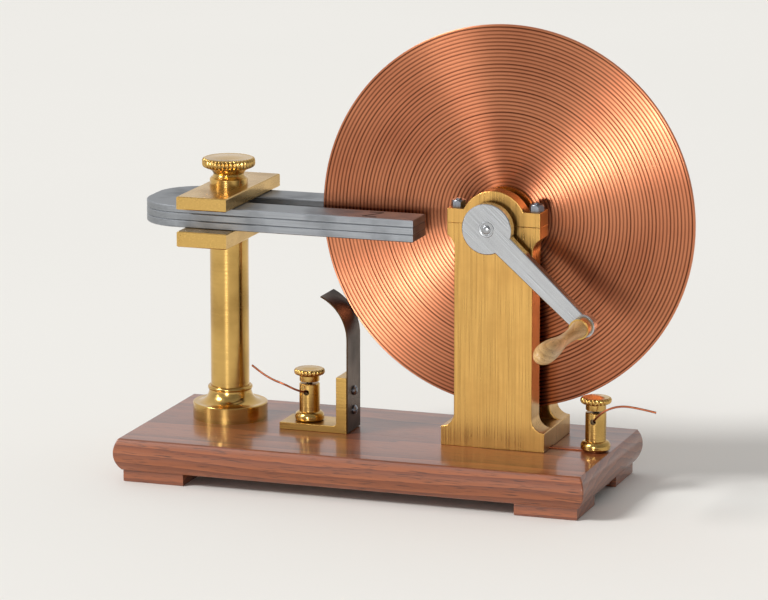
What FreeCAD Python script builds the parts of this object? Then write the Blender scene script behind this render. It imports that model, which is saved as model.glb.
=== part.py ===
import FreeCAD, Part
import math
import os
import re
import Sketcher
from FreeCAD import Placement, Rotation, Vector

# Disc generator: a copper disc on a cranked shaft turns between the poles of a stack of
# horseshoe magnets. A spring strip rubs the rim, and one terminal joins the strip, the other the
# bearing frame. +Z is up, the crank is in front (towards -Y), and lengths are in millimetres.
# The origin lies on the ground, under the middle of the whole object's outline.

SIZES = {
    # how far a cutting tool reaches past the face that it cuts
    "overrun": 1.0,
    # base board and its feet
    "base_length": 306.0,
    "base_width": 134.0,
    "base_thick": 20.5,
    "edge_inset_top": 2.8,
    "edge_inset_bottom": 4.2,
    "foot_length": 40.0,
    "foot_width": 38.0,
    "foot_height": 7.5,
    "foot_inset": 5.2,
    "foot_chamfer": 0.6,
    "foot_screw_dia": 4.0,
    "foot_screw_length": 17.0,
    "foot_screw_head": 8.0,
    "foot_screw_sink": 0.4,
    "foot_screw_room": 0.3,
    # vertical plane, along X, that the disc, the magnets and the column share
    "plane_y": 14.0,
    # turned column and the rod through it
    "column_x": -105.0,
    "column_dia": 24.5,
    "column_height": 118.0,
    "flange_dia": 47.5,
    "flange_height": 10.4,
    "flare_dia": 41.0,
    "flare_height": 8.0,
    "ring_dia": 28.6,
    "ring_height": 2.6,
    "ring_bulge": 0.8,
    "rod_dia": 8.0,
    "rod_chamfer": 0.8,
    "rod_tail": 0.6,
    "rod_end_gap": 0.8,
    "rod_nut_flats": 13.0,
    "rod_nut_height": 6.5,
    "rod_washer_dia": 20.0,
    "rod_washer_thick": 1.6,
    "rod_recess_dia": 24.0,
    "rod_recess_depth": 10.0,
    "hole_clearance": 0.1,
    # clamp plates
    "plate_width": 33.0,
    "plate_length": 96.0,
    "lower_plate_thick": 9.8,
    "upper_plate_thick": 8.3,
    "plate_chamfer": 0.6,
    # horseshoe magnets
    "magnet_length": 185.0,
    "magnet_gap": 22.0,
    "magnet_arm": 24.0,
    "magnet_thick": 4.6,
    "magnet_reach": 50.7,
    "magnet_bend": 28.0,
    "magnet_chamfer": 0.5,
    # clamp collar and knob
    "collar_dia": 24.0,
    "collar_height": 5.4,
    "collar_chamfer": 0.8,
    "knob_foot_dia": 22.0,
    "knob_waist_dia": 19.2,
    "knob_waist_height": 1.9,
    "knob_flare_height": 6.2,
    "knob_head_dia": 33.6,
    "knob_edge": 1.8,
    "knob_dome": 0.8,
    "knob_height": 13.2,
    "knob_bore_depth": 9.6,
    "knob_flute_radius": 0.8,
    "knob_flute_depth": 0.4,
    "knob_flutes": 36,
    # bearing frame
    "shaft_x": 78.8,
    "frame_plate": 17.0,
    "frame_gap": 22.0,
    "frame_foot_height": 12.1,
    "frame_cove": 8.4,
    "ear_drop": 7.6,
    "undercut_height": 8.0,
    "undercut_depth": 4.7,
    "frame_bolt_dia": 6.0,
    "frame_bolt_grip": 10.0,
    "frame_bolt_head_dia": 10.0,
    "frame_bolt_head": 5.0,
    "frame_bolt_recess": 9.0,
    "frame_bolt_recess_dia": 13.0,
    "frame_bolt_end_gap": 0.5,
    # bearing caps, their studs and nuts
    "cap_ear_height": 9.1,
    "cap_arch_radius": 21.2,
    "cap_arch_depth": 11.0,
    "cap_back_radius": 17.5,
    "stud_dia": 4.0,
    "stud_from_arch": 3.8,
    "stud_from_end": 4.8,
    "stud_depth": 8.0,
    "stud_tip": 0.9,
    "stud_chamfer": 0.5,
    "stud_nut_flats": 8.2,
    "stud_nut_height": 4.2,
    "stud_nut_cone_low": 12.2,
    "stud_nut_cone_high": 8.0,
    # split bushes
    "bush_dia": 18.0,
    "bush_flange_dia": 26.0,
    "bush_flange_thick": 1.2,
    # rotor
    "shaft_dia": 10.0,
    "shaft_fit": 0.05,
    "end_play": 0.4,
    "shaft_chamfer": 0.4,
    "shaft_proud": 0.4,
    "shaft_nose_dia": 5.8,
    "shaft_nose": 0.8,
    "shaft_tail": 3.0,
    "disc_dia": 240.0,
    "disc_thick": 2.5,
    "disc_above_board": 20.6,
    "disc_edge": 0.3,
    "hub_flange_dia": 40.0,
    "hub_flange_thick": 4.0,
    "hub_boss_dia": 20.0,
    "hub_screw_dia": 3.0,
    "hub_screw_circle": 30.0,
    "hub_screw_head_dia": 5.6,
    "hub_screw_head": 2.0,
    "hub_screw_short": 0.5,
    "hub_screws": 4,
    "cross_pin_dia": 2.5,
    "pin_end_gap": 0.3,
    "shaft_collar_dia": 20.0,
    "shaft_collar_length": 8.0,
    "shaft_collar_chamfer": 0.6,
    "grub_dia": 4.0,
    "grub_sink": 0.5,
    # crank
    "crank_angle": 42.3,
    "crank_reach": 83.2,
    "crank_boss_radius": 15.7,
    "crank_end_radius": 7.4,
    "crank_root_width": 13.6,
    "crank_tip_width": 11.0,
    "crank_thick": 7.0,
    "crank_hub_dia": 20.0,
    "crank_hub_length": 6.0,
    "crank_chamfer": 0.5,
    # handle
    "handle_length": 92.0,
    "ferrule_dia": 12.6,
    "ferrule_length": 8.0,
    "ferrule_wall": 1.6,
    "ferrule_skin": 1.0,
    "ferrule_recess": 2.6,
    "ferrule_chamfer": 0.8,
    "grip_neck_dia": 10.8,
    "grip_waist_dia": 7.2,
    "grip_waist_at": 34.0,
    "grip_belly_dia": 12.8,
    "grip_belly_to_tip": 15.0,
    "grip_tip_radius": 4.0,
    "grip_end_wall": 20.0,
    "spindle_dia": 4.0,
    "spindle_collar_dia": 7.4,
    "spindle_collar_thick": 1.8,
    "spindle_end_gap": 4.0,
    # brush bracket and contact strip
    "bracket_length": 44.8,
    "bracket_width": 24.0,
    "bracket_thick": 4.5,
    "bracket_leg": 7.0,
    "bracket_rise": 35.9,
    "bracket_corner": 2.0,
    "strip_face_x": -18.9,
    "strip_thick": 0.9,
    "strip_gap": 0.3,
    "strip_curl": 30.0,
    "strip_curl_angle": 66.0,
    "strip_lap": 0.9,
    "strip_foot": 0.5,
    "strip_screw_low": 13.3,
    "strip_screw_high": 25.8,
    "strip_screw_dia": 3.0,
    "strip_screw_head_dia": 6.0,
    "strip_screw_head": 2.2,
    "strip_screw_rim": 0.4,
    "strip_screw_slot": 0.9,
    "strip_screw_grip": 5.0,
    "dowel_dia": 3.0,
    "dowel_length": 9.0,
    "dowel_depth": 6.0,
    "dowel_end_gap": 0.2,
    "dowel_inset": 6.0,
    # terminals
    "bracket_terminal_inset": 16.0,
    "base_terminal_inset": 12.4,
    "base_terminal_y": 2.0,
    "bead_dia": 18.4,
    "bead_height": 6.0,
    "bead_foot_dia": 16.0,
    "bead_neck_dia": 13.8,
    "post_dia": 13.0,
    "post_height": 24.0,
    "post_chamfer": 0.5,
    "wire_hole_dia": 3.8,
    "wire_hole_height": 18.8,
    "stem_dia": 4.0,
    "stem_clearance": 0.05,
    "stem_chamfer": 0.4,
    "stem_bore_below": 0.5,
    "stem_end_gap": 0.1,
    "neck_dia": 12.7,
    "neck_gap": 1.4,
    "neck_height": 4.0,
    "thumb_dia": 19.4,
    "thumb_edge": 1.3,
    "thumb_dome": 0.7,
    "thumb_height": 4.6,
    "thumb_seat": 1.3,
    "thumb_flute_radius": 1.0,
    "thumb_flute_depth": 0.5,
    "thumb_flutes": 16,
    "terminal_stud_dia": 5.0,
    "terminal_nut_flats": 8.0,
    "terminal_nut_height": 4.0,
    "terminal_tail": 0.5,
    "terminal_washer_dia": 12.0,
    "terminal_washer_thick": 1.0,
    "terminal_recess_dia": 16.0,
    "terminal_recess_depth": 8.0,
    # copper strip from the bearing frame to its terminal
    "link_width": 6.0,
    "link_thick": 0.8,
    "link_lap": 12.0,
    "link_room": 0.2,
    "link_eye_dia": 14.0,
    # bare copper leads
    "lead_dia": 1.3,
}

LEVELS = {
    # the board's rounded edge, as the depth and the radius of an arc
    "edge_sag": "(edge_inset_top + edge_inset_bottom) / 2",
    "edge_radius": "(base_thick^2 / 4 + edge_sag^2) / (2 * edge_sag)",
    # heights above the ground
    "base_top": "foot_height + base_thick",
    "magnet_bottom": "base_top + column_height + lower_plate_thick",
    "magnet_top": "magnet_bottom + 3 * magnet_thick",
    "clamp_top": "magnet_top + upper_plate_thick",
    "shaft_rise": "disc_dia / 2 + disc_above_board",
    "shaft_z": "base_top + shaft_rise",
    # places along Y, counted from the common plane
    "frame_half": "frame_gap / 2 + frame_plate",
    "crank_back": "frame_half + bush_flange_thick + end_play + crank_hub_length",
    "crank_front": "crank_back + crank_thick",
    "crank_pin_at": "crank_back - crank_hub_length / 2",
    "shaft_rear": "frame_half + bush_flange_thick + end_play + shaft_collar_length + shaft_tail",
    "hub_end": "frame_gap / 2 - bush_flange_thick - end_play",
    "hub_pin_at": "(disc_thick / 2 + hub_flange_thick + hub_end) / 2",
    "plate_middle": "(frame_gap + frame_plate) / 2",
    # widths of the bearing frame, from its caps down to its foot
    "stud_spacing": "2 * (cap_arch_radius + stud_from_arch)",
    "ear_width": "stud_spacing + 2 * stud_from_end",
    "frame_foot_width": "ear_width - 2 * undercut_depth + 2 * frame_cove",
    # places along X
    "magnet_left": "column_x - magnet_reach",
    "bracket_left": "strip_face_x - bracket_length",
    "bracket_terminal_x": "bracket_left + bracket_terminal_inset",
    "base_terminal_x": "base_length / 2 - base_terminal_inset",
    "handle_x": "shaft_x + crank_reach * cos(crank_angle)",
    "handle_z": "shaft_z - crank_reach * sin(crank_angle)",
    "grip_belly_at": "handle_length - grip_belly_to_tip",
    "grip_bore_depth": "handle_length - grip_end_wall",
    # the handle's rounded end: one long arc meets a small dome without a corner
    "tip_centre": "handle_length - grip_tip_radius",
    "tip_run": "grip_belly_to_tip - grip_tip_radius",
    "belly_arc": "((grip_belly_dia / 2)^2 + tip_run^2 - grip_tip_radius^2)"
    " / (grip_belly_dia - 2 * grip_tip_radius)",
    "tip_join_radius": "grip_tip_radius * (belly_arc - grip_belly_dia / 2)"
    " / (belly_arc - grip_tip_radius)",
    "tip_join_at": "tip_centre + grip_tip_radius * tip_run / (belly_arc - grip_tip_radius)",
    # brush strip: the height at which its curl starts, so that the curl touches the rim
    "curl_rise": "shaft_rise - sqrt((disc_dia / 2 + strip_gap + strip_curl)^2"
    " - (shaft_x - strip_face_x - strip_thick + strip_curl)^2)",
    "bracket_y": "plane_y + disc_thick / 2 + strip_lap - bracket_width / 2",
    # wire holes of the two terminals, above the ground
    "bracket_post_z": "base_top + bracket_thick",
    "base_post_z": "base_top + link_thick",
    # shift from the base board's middle to the middle of the whole outline
    "frame_x": "-(min(-base_length / 2; magnet_left) + max(base_length / 2; shaft_x + disc_dia / 2)) / 2",
    "frame_y": "-(plane_y - crank_front - handle_length + base_width / 2) / 2",
}

UP = Vector(0, 0, 1)
RIGHT = Vector(1, 0, 0)
BACK = Vector(0, 1, 0)
# turns that carry a piece's own Z axis to the front, to the back and to the right
TO_FRONT = Rotation(RIGHT, 90)
TO_BACK = Rotation(RIGHT, -90)
TO_RIGHT = Rotation(BACK, 90)
UPSIDE_DOWN = Rotation(RIGHT, 180)

doc = FreeCAD.newDocument("DiscGenerator")
nodes = {}


def fill_sheets():
    """Writes the driving sizes as plain numbers and the derived levels as formulas."""
    sizes = doc.addObject("Spreadsheet::Sheet", "Sizes")
    for row, (name, value) in enumerate(SIZES.items(), start=1):
        sizes.set(f"A{row}", name)
        sizes.set(f"B{row}", str(value))
        sizes.setAlias(f"B{row}", name)
    levels = doc.addObject("Spreadsheet::Sheet", "Levels")
    for row, (name, text) in enumerate(LEVELS.items(), start=1):
        levels.set(f"A{row}", name)
        levels.set(f"B{row}", "=" + formula(text))
        levels.setAlias(f"B{row}", name)
    doc.recompute()
    return sizes


def formula(text):
    """Puts each size's or level's sheet in front of its name."""

    def with_sheet(match):
        name = match.group()
        if name in SIZES:
            return "Sizes." + name
        if name in LEVELS:
            return "Levels." + name
        return name

    return re.sub(r"[a-z_]+", with_sheet, str(text))


def value(text):
    """The present value of a formula, for shapes and first positions worked out in code."""
    return float(sheet.evalExpression(formula(text)))


def bind(thing, path, text):
    thing.setExpression(path, formula(text))


def place(thing, x="0", y="0", z="0", turn=None):
    """Places a piece by formulas, after an optional fixed turn."""
    if turn is not None:
        thing.Placement = Placement(Vector(0, 0, 0), turn)
    for axis, text in (("x", x), ("y", y), ("z", z)):
        if text != "0":
            bind(thing, f"Placement.Base.{axis}", text)
    return thing


def node(label, thing, x="0", y="0", z="0", turn=None):
    """Names a finished sub-part and puts it in its place in the object's frame."""
    thing.Label = label
    place(thing, f"frame_x + {x}", f"frame_y + {y}", z, turn)
    nodes[label] = thing
    return thing


def cylinder(dia, height, x="0", y="0", z="0", turn=None, sweep=None):
    thing = doc.addObject("Part::Cylinder", "Cylinder")
    bind(thing, "Radius", f"({dia}) / 2")
    bind(thing, "Height", height)
    if sweep is not None:
        thing.Angle = sweep
    return place(thing, x, y, z, turn)


def box(length, width, height, x="0", y="0", z="0"):
    """A block whose place is the middle of its bottom face."""
    thing = doc.addObject("Part::Box", "Box")
    bind(thing, "Length", length)
    bind(thing, "Width", width)
    bind(thing, "Height", height)
    return place(thing, f"{x} - ({length}) / 2", f"{y} - ({width}) / 2", z)


def cone(dia_low, dia_high, height, x="0", y="0", z="0", turn=None):
    thing = doc.addObject("Part::Cone", "Cone")
    bind(thing, "Radius1", f"({dia_low}) / 2")
    bind(thing, "Radius2", f"({dia_high}) / 2")
    bind(thing, "Height", height)
    return place(thing, x, y, z, turn)


def hexagon(flats, height, x="0", y="0", z="0", turn=None):
    thing = doc.addObject("Part::Prism", "Hexagon")
    thing.Polygon = 6
    bind(thing, "Circumradius", f"({flats}) / 2 / cos(30)")
    bind(thing, "Height", height)
    return place(thing, x, y, z, turn)


def group(*parts):
    thing = doc.addObject("Part::Compound", "Group")
    thing.Links = list(parts)
    return thing


def joined(*parts):
    thing = doc.addObject("Part::MultiFuse", "Joined")
    thing.Shapes = list(parts)
    thing.Refine = True
    return thing


def cut(base, *tools):
    thing = doc.addObject("Part::Cut", "Cut")
    thing.Base = base
    thing.Tool = tools[0] if len(tools) == 1 else group(*tools)
    return thing


def common(first, second):
    thing = doc.addObject("Part::Common", "Common")
    thing.Base = first
    thing.Tool = second
    return thing


def origin_plane(body, role):
    return next(f for f in body.Origin.OriginFeatures if f.Role == role)


def arc_between(start, end, radius, turn):
    """The arc under a half circle from start to end; turn is 1 to the left and -1 to the right."""
    chord = end - start
    half = chord.Length / 2
    depth = math.sqrt(max(radius * radius - half * half, 0.0))
    left = Vector(-chord.y, chord.x, 0) / chord.Length
    centre = (start + end) * 0.5 + left * depth * turn
    first, last = (start, end) if turn > 0 else (end, start)
    low = math.atan2(first.y - centre.y, first.x - centre.x)
    high = math.atan2(last.y - centre.y, last.x - centre.x)
    return Part.ArcOfCircle(Part.Circle(centre, UP, radius), low, high)


def outline(body, role, corners):
    """A closed sketch through corners; a corner with a radius and a turn is reached by an arc."""
    sketch = body.newObject("Sketcher::SketchObject", "Outline")
    sketch.AttachmentSupport = [(origin_plane(body, role), "")]
    sketch.MapMode = "FlatFace"
    points = [Vector(value(c[0]), value(c[1]), 0) for c in corners]
    ends = []
    for i, corner in enumerate(corners):
        start = points[i - 1]
        if len(corner) == 2:
            sketch.addGeometry(Part.LineSegment(start, points[i]), False)
            ends.append((1, 2))
        else:
            sketch.addGeometry(arc_between(start, points[i], value(corner[2]), corner[3]), False)
            ends.append((1, 2) if corner[3] > 0 else (2, 1))
    for i, corner in enumerate(corners):
        after = (i + 1) % len(corners)
        sketch.addConstraint(Sketcher.Constraint("Coincident", i, ends[i][1], after, ends[after][0]))
        for kind, text, axis in (("DistanceX", corner[0], -2), ("DistanceY", corner[1], -1)):
            if text == "0":
                sketch.addConstraint(Sketcher.Constraint("PointOnObject", i, ends[i][1], axis))
                continue
            number = sketch.addConstraint(
                Sketcher.Constraint(kind, -1, 1, i, ends[i][1], value(text))
            )
            bind(sketch, f"Constraints[{number}]", text)
        if len(corner) > 2:
            number = sketch.addConstraint(Sketcher.Constraint("Radius", i, value(corner[2])))
            bind(sketch, f"Constraints[{number}]", corner[2])
    return sketch


def new_body():
    return doc.addObject("PartDesign::Body", "Body")


def padded(role, corners, length, symmetric=True):
    """A body padded from an outline, both ways from its plane or along the plane's normal."""
    body = new_body()
    pad = body.newObject("PartDesign::Pad", "Pad")
    pad.Profile = outline(body, role, corners)
    bind(pad, "Length", length)
    if symmetric:
        pad.SideType = "Symmetric"
    doc.recompute()
    return body


def turned(corners):
    """A body of revolution about its own Z axis, from corners given as radius and height."""
    body = new_body()
    sketch = outline(body, "XZ_Plane", corners)
    lathe = body.newObject("PartDesign::Revolution", "Lathe")
    lathe.Profile = sketch
    lathe.ReferenceAxis = (sketch, ["V_Axis"])
    lathe.Angle = 360
    doc.recompute()
    return body


def dressed(body, kind, size, chosen):
    """Adds a Fillet or Chamfer on the edges that the chosen test picks."""
    tip = body.Tip
    names = [f"Edge{i}" for i, edge in enumerate(tip.Shape.Edges, start=1) if chosen(edge)]
    feature = body.newObject(f"PartDesign::{kind}", kind)
    feature.Base = (tip, names)
    bind(feature, "Radius" if kind == "Fillet" else "Size", size)
    doc.recompute()
    return body


def lies_at_height(*heights):
    """A test for edges that lie flat at one of the heights."""

    def test(edge):
        box_of = edge.BoundBox
        return any(abs(box_of.ZMin - z) < 1e-6 and abs(box_of.ZMax - z) < 1e-6 for z in heights)

    return test


def fluted(body, centre_radius, flute_radius, count):
    """Cuts rounded flutes through a turned body's rim, evenly round its axis."""
    sketch = body.newObject("Sketcher::SketchObject", "Flute")
    sketch.AttachmentSupport = [(origin_plane(body, "XY_Plane"), "")]
    sketch.MapMode = "FlatFace"
    middle = Vector(value(centre_radius), 0, 0)
    sketch.addGeometry(Part.Circle(middle, UP, value(flute_radius)), False)
    sketch.addConstraint(Sketcher.Constraint("PointOnObject", 0, 3, -1))
    number = sketch.addConstraint(Sketcher.Constraint("DistanceX", -1, 1, 0, 3, middle.x))
    bind(sketch, f"Constraints[{number}]", centre_radius)
    number = sketch.addConstraint(Sketcher.Constraint("Radius", 0, value(flute_radius)))
    bind(sketch, f"Constraints[{number}]", flute_radius)
    pocket = body.newObject("PartDesign::Pocket", "FlutePocket")
    pocket.Profile = sketch
    pocket.SideType = "Symmetric"
    pocket.Type = "ThroughAll"
    doc.recompute()
    ring = body.newObject("PartDesign::PolarPattern", "FluteRing")
    ring.Originals = [pocket]
    ring.Axis = (sketch, ["N_Axis"])
    ring.Angle = 360
    bind(ring, "Occurrences", count)
    body.Tip = ring
    doc.recompute()
    return body



def rectangle(length, width):
    return [
        (f"({length}) / 2", f"-({width}) / 2"),
        (f"({length}) / 2", f"({width}) / 2"),
        (f"-({length}) / 2", f"({width}) / 2"),
        (f"-({length}) / 2", f"-({width}) / 2"),
    ]


def chord_radius(x0, y0, x1, y1):
    """A radius of three quarters of the stretch between two corners, for a cove or a flare."""
    return f"0.75 * sqrt(({x1} - ({x0}))^2 + ({y1} - ({y0}))^2)"


def dome_radius(half_width, rise):
    return f"(({half_width})^2 + ({rise})^2) / (2 * ({rise}))"


def board_section(role, half_length, length):
    """The board's cross section with its rounded edges, padded to the board's other size."""
    corners = [
        (f"{half_length} - edge_inset_bottom", "0"),
        (f"{half_length} - edge_inset_top", "base_thick", "edge_radius", 1),
        (f"edge_inset_top - {half_length}", "base_thick"),
        (f"edge_inset_bottom - {half_length}", "0", "edge_radius", 1),
    ]
    return padded(role, corners, length)


def board_hole(dia, x, y):
    return cylinder(f"{dia} + 2 * hole_clearance", "base_thick + 2 * overrun", x, y, "-overrun")


def board_recess(dia, depth, x, y):
    return cylinder(dia, f"{depth} + overrun", x, y, "-overrun")


FOOT_X = "(base_length / 2 - foot_inset - foot_length / 2)"
FOOT_Y = "(base_width / 2 - foot_inset - foot_width / 2)"
FOOT_PLACES = [(f"{sx}{FOOT_X}", f"{sy}{FOOT_Y}") for sx in ("", "-") for sy in ("", "-")]
BOLT_PLACES = [("shaft_x", "plane_y - plate_middle"), ("shaft_x", "plane_y + plate_middle")]
TERMINALS = {
    "bracket": ("bracket_terminal_x", "bracket_y", "bracket_post_z"),
    "base": ("base_terminal_x", "base_terminal_y", "base_post_z"),
}
DOWEL_X = "bracket_left + dowel_inset"
COUNTERSINK = "(foot_screw_head - foot_screw_dia) / 2"


def make_base():
    board = common(
        board_section("XZ_Plane", "base_length / 2", "base_width"),
        board_section("YZ_Plane", "base_width / 2", "base_length"),
    )
    holes = [
        board_hole("rod_dia", "column_x", "plane_y"),
        board_recess("rod_recess_dia", "rod_recess_depth", "column_x", "plane_y"),
        cylinder("dowel_dia + 2 * hole_clearance", "dowel_length", DOWEL_X, "bracket_y",
                 "base_thick - dowel_depth"),
    ]
    for x, y in BOLT_PLACES:
        holes.append(board_hole("frame_bolt_dia", x, y))
        holes.append(board_recess("frame_bolt_recess_dia", "frame_bolt_recess", x, y))
    for x, y, _ in TERMINALS.values():
        holes.append(board_hole("terminal_stud_dia", x, y))
        holes.append(board_recess("terminal_recess_dia", "terminal_recess_depth", x, y))
    for x, y in FOOT_PLACES:
        depth = "foot_screw_length + foot_screw_sink - foot_height + 2 * overrun"
        holes.append(cylinder("foot_screw_dia + 2 * hole_clearance", depth, x, y, "-overrun"))
    node("base_board", cut(board, *holes), z="foot_height")


def make_feet():
    blocks = []
    screws = []
    for x, y in FOOT_PLACES:
        block = padded("XY_Plane", rectangle("foot_length", "foot_width"), "foot_height", False)
        dressed(block, "Chamfer", "foot_chamfer", lies_at_height(0.0))
        hole = cylinder("foot_screw_dia + 2 * hole_clearance", "foot_height + 2 * overrun", z="-overrun")
        wide = "foot_screw_head + 2 * foot_screw_room"
        sink = cone(wide, "foot_screw_dia", f"{COUNTERSINK} + foot_screw_room", z="foot_screw_sink")
        mouth = cylinder(wide, "foot_screw_sink + overrun", z="-overrun")
        blocks.append(place(cut(block, joined(hole, sink, mouth)), x, y))
        head = cone("foot_screw_head", "foot_screw_dia", COUNTERSINK, x, y)
        screws.append(joined(head, cylinder("foot_screw_dia", "foot_screw_length", x, y)))
    node("feet", group(*blocks))
    node("foot_screws", group(*screws), z="foot_screw_sink")


def make_column():
    bore = "rod_dia / 2 + hole_clearance"
    flare_top = "flange_height + flare_height"
    ring_foot = "ring_dia / 2 - ring_bulge"
    column = turned(
        [
            (bore, "0"),
            ("flange_dia / 2", "0"),
            ("flange_dia / 2", "flange_height"),
            ("flare_dia / 2", "flange_height"),
            (ring_foot, flare_top,
             chord_radius("flare_dia / 2", "flange_height", ring_foot, flare_top), -1),
            (ring_foot, f"{flare_top} + ring_height", dome_radius("ring_height / 2", "ring_bulge"), 1),
            ("column_dia / 2", f"{flare_top} + ring_height"),
            ("column_dia / 2", "column_height"),
            (bore, "column_height"),
        ]
    )
    dressed(
        column,
        "Fillet",
        "plate_chamfer",
        lambda edge: lies_at_height(value("flange_height"))(edge)
        and edge.BoundBox.XMax > value("flange_dia / 2") - 0.01,
    )
    node("column", column, "column_x", "plane_y", "base_top")

    ceiling = "foot_height + rod_recess_depth"
    rod_low = f"{ceiling} - rod_washer_thick - rod_nut_height - rod_tail"
    rod_high = "clamp_top + collar_height + knob_bore_depth - rod_end_gap"
    rod = turned(chamfered_rod("rod_dia / 2", f"{rod_high} - ({rod_low})", "rod_chamfer"))
    node("column_rod", rod, "column_x", "plane_y", rod_low)
    washer = cut(
        cylinder("rod_washer_dia", "rod_washer_thick"),
        cylinder("rod_dia + 2 * hole_clearance", "rod_washer_thick + 2 * overrun", z="-overrun"),
    )
    node("column_washer", washer, "column_x", "plane_y", f"{ceiling} - rod_washer_thick")
    nut = cut(
        hexagon("rod_nut_flats", "rod_nut_height"),
        cylinder("rod_dia + 2 * hole_clearance", "rod_nut_height + 2 * overrun", z="-overrun"),
    )
    node("column_nut", nut, "column_x", "plane_y", f"{ceiling} - rod_washer_thick - rod_nut_height")


def chamfered_rod(radius, length, chamfer):
    return [
        ("0", "0"),
        (f"{radius} - {chamfer}", "0"),
        (radius, chamfer),
        (radius, f"{length} - {chamfer}"),
        (f"{radius} - {chamfer}", length),
        ("0", length),
    ]


def make_clamp_plates():
    for label, thick, low in (
        ("lower_clamp_plate", "lower_plate_thick", "base_top + column_height"),
        ("upper_clamp_plate", "upper_plate_thick", "magnet_top"),
    ):
        plate = padded("XY_Plane", rectangle("plate_width", "plate_length"), thick, False)
        dressed(plate, "Chamfer", "plate_chamfer", lies_at_height(0.0, value(thick)))
        hole = cylinder("rod_dia + 2 * hole_clearance", f"{thick} + 2 * overrun", z="-overrun")
        node(label, cut(plate, hole), "column_x", "plane_y", low)


def make_magnets():
    half = "(magnet_gap / 2 + magnet_arm)"
    pole = "magnet_length - magnet_reach"
    slot = "magnet_arm - magnet_reach"
    slot_start = f"{slot} + magnet_gap / 2"
    bend = "magnet_bend - magnet_reach"
    corners = [
        (pole, f"-{half}"),
        (pole, "-magnet_gap / 2"),
        (slot_start, "-magnet_gap / 2"),
        (slot, "0", "magnet_gap / 2", -1),
        (slot_start, "magnet_gap / 2", "magnet_gap / 2", -1),
        (pole, "magnet_gap / 2"),
        (pole, half),
        (bend, half),
        ("-magnet_reach", f"{half} - magnet_bend", "magnet_bend", 1),
        ("-magnet_reach", f"magnet_bend - {half}"),
        (bend, f"-{half}", "magnet_bend", 1),
    ]
    for level, label in enumerate(("bottom_magnet", "middle_magnet", "top_magnet")):
        magnet = padded("XY_Plane", corners, "magnet_thick", False)
        dressed(magnet, "Chamfer", "magnet_chamfer", lies_at_height(0.0, value("magnet_thick")))
        node(label, magnet, "column_x", "plane_y", f"magnet_bottom + {level} * magnet_thick")


def make_clamp_knob():
    bore = "rod_dia / 2 + stem_clearance"
    collar = turned(
        [
            (bore, "0"),
            ("collar_dia / 2", "0"),
            ("collar_dia / 2", "collar_height - collar_chamfer"),
            ("collar_dia / 2 - collar_chamfer", "collar_height"),
            (bore, "collar_height"),
        ]
    )
    node("clamp_collar", collar, "column_x", "plane_y", "clamp_top")

    edge = "knob_head_dia / 2 - knob_edge"
    shoulder = "knob_height - knob_dome"
    waist = ("knob_waist_dia / 2", "knob_waist_height")
    knob = turned(
        [
            (bore, "0"),
            ("knob_foot_dia / 2", "0"),
            (*waist, chord_radius("knob_foot_dia / 2", "0", *waist), -1),
            (edge, "knob_flare_height", chord_radius(*waist, edge, "knob_flare_height"), -1),
            ("knob_head_dia / 2", "knob_flare_height + knob_edge", "knob_edge", 1),
            ("knob_head_dia / 2", f"{shoulder} - knob_edge"),
            (edge, shoulder, "knob_edge", 1),
            ("0", "knob_height", dome_radius(edge, "knob_dome"), 1),
            ("0", "knob_bore_depth"),
            (bore, "knob_bore_depth"),
        ]
    )
    ring = "knob_head_dia / 2 + knob_flute_radius - knob_flute_depth"
    fluted(knob, ring, "knob_flute_radius", "knob_flutes")
    node("clamp_knob", knob, "column_x", "plane_y", "clamp_top + collar_height")


def make_frame():
    shank = "(frame_foot_width / 2 - frame_cove)"
    ear = "ear_width / 2"
    ear_low = "shaft_rise - ear_drop"
    neck = f"{ear_low} - undercut_height"
    undercut = f"(({ear} - {shank})^2 + undercut_height^2) / (2 * ({ear} - {shank}))"
    cove_top = "frame_foot_height + frame_cove"
    profile = [
        ("frame_foot_width / 2", "0"),
        ("frame_foot_width / 2", "frame_foot_height"),
        (shank, cove_top, "frame_cove", -1),
        (shank, neck),
        (ear, ear_low, undercut, -1),
        (ear, "shaft_rise"),
        (f"-{ear}", "shaft_rise"),
        (f"-{ear}", ear_low),
        (f"-{shank}", neck, undercut, -1),
        (f"-{shank}", cove_top),
        ("-frame_foot_width / 2", "frame_foot_height", "frame_cove", -1),
        ("-frame_foot_width / 2", "0"),
    ]
    casting = padded("XZ_Plane", profile, "2 * frame_half")
    tools = [
        box("frame_foot_width + 2 * overrun", "frame_gap", "shaft_rise", z="frame_foot_height"),
        cylinder("bush_dia", "2 * frame_half + 2 * overrun", "0", "frame_half + overrun",
                 "shaft_rise", TO_FRONT),
        box("link_lap", "link_width + 2 * link_room", "link_thick",
            "(frame_foot_width - link_lap) / 2", "base_terminal_y - plane_y"),
    ]
    for side in ("-", ""):
        y = f"{side}plate_middle"
        hole = "frame_bolt_dia + 2 * hole_clearance"
        tools.append(cylinder(hole, "frame_bolt_grip + frame_bolt_end_gap", "0", y))
        for end in ("-", ""):
            x = f"{end}stud_spacing / 2"
            hole = "stud_dia + 2 * hole_clearance"
            tools.append(cylinder(hole, "stud_depth + overrun", x, y, "shaft_rise - stud_depth"))
    node("bearing_frame", cut(casting, *tools), "shaft_x", "plane_y", "base_top")

    bolts = []
    low = "foot_height + frame_bolt_recess - frame_bolt_head"
    for x, y in BOLT_PLACES:
        length = "frame_bolt_head + base_thick - frame_bolt_recess + frame_bolt_grip"
        shank_rod = cylinder("frame_bolt_dia", length, x, y)
        bolts.append(joined(cylinder("frame_bolt_head_dia", "frame_bolt_head", x, y), shank_rod))
    node("frame_bolts", group(*bolts), z=low)


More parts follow.
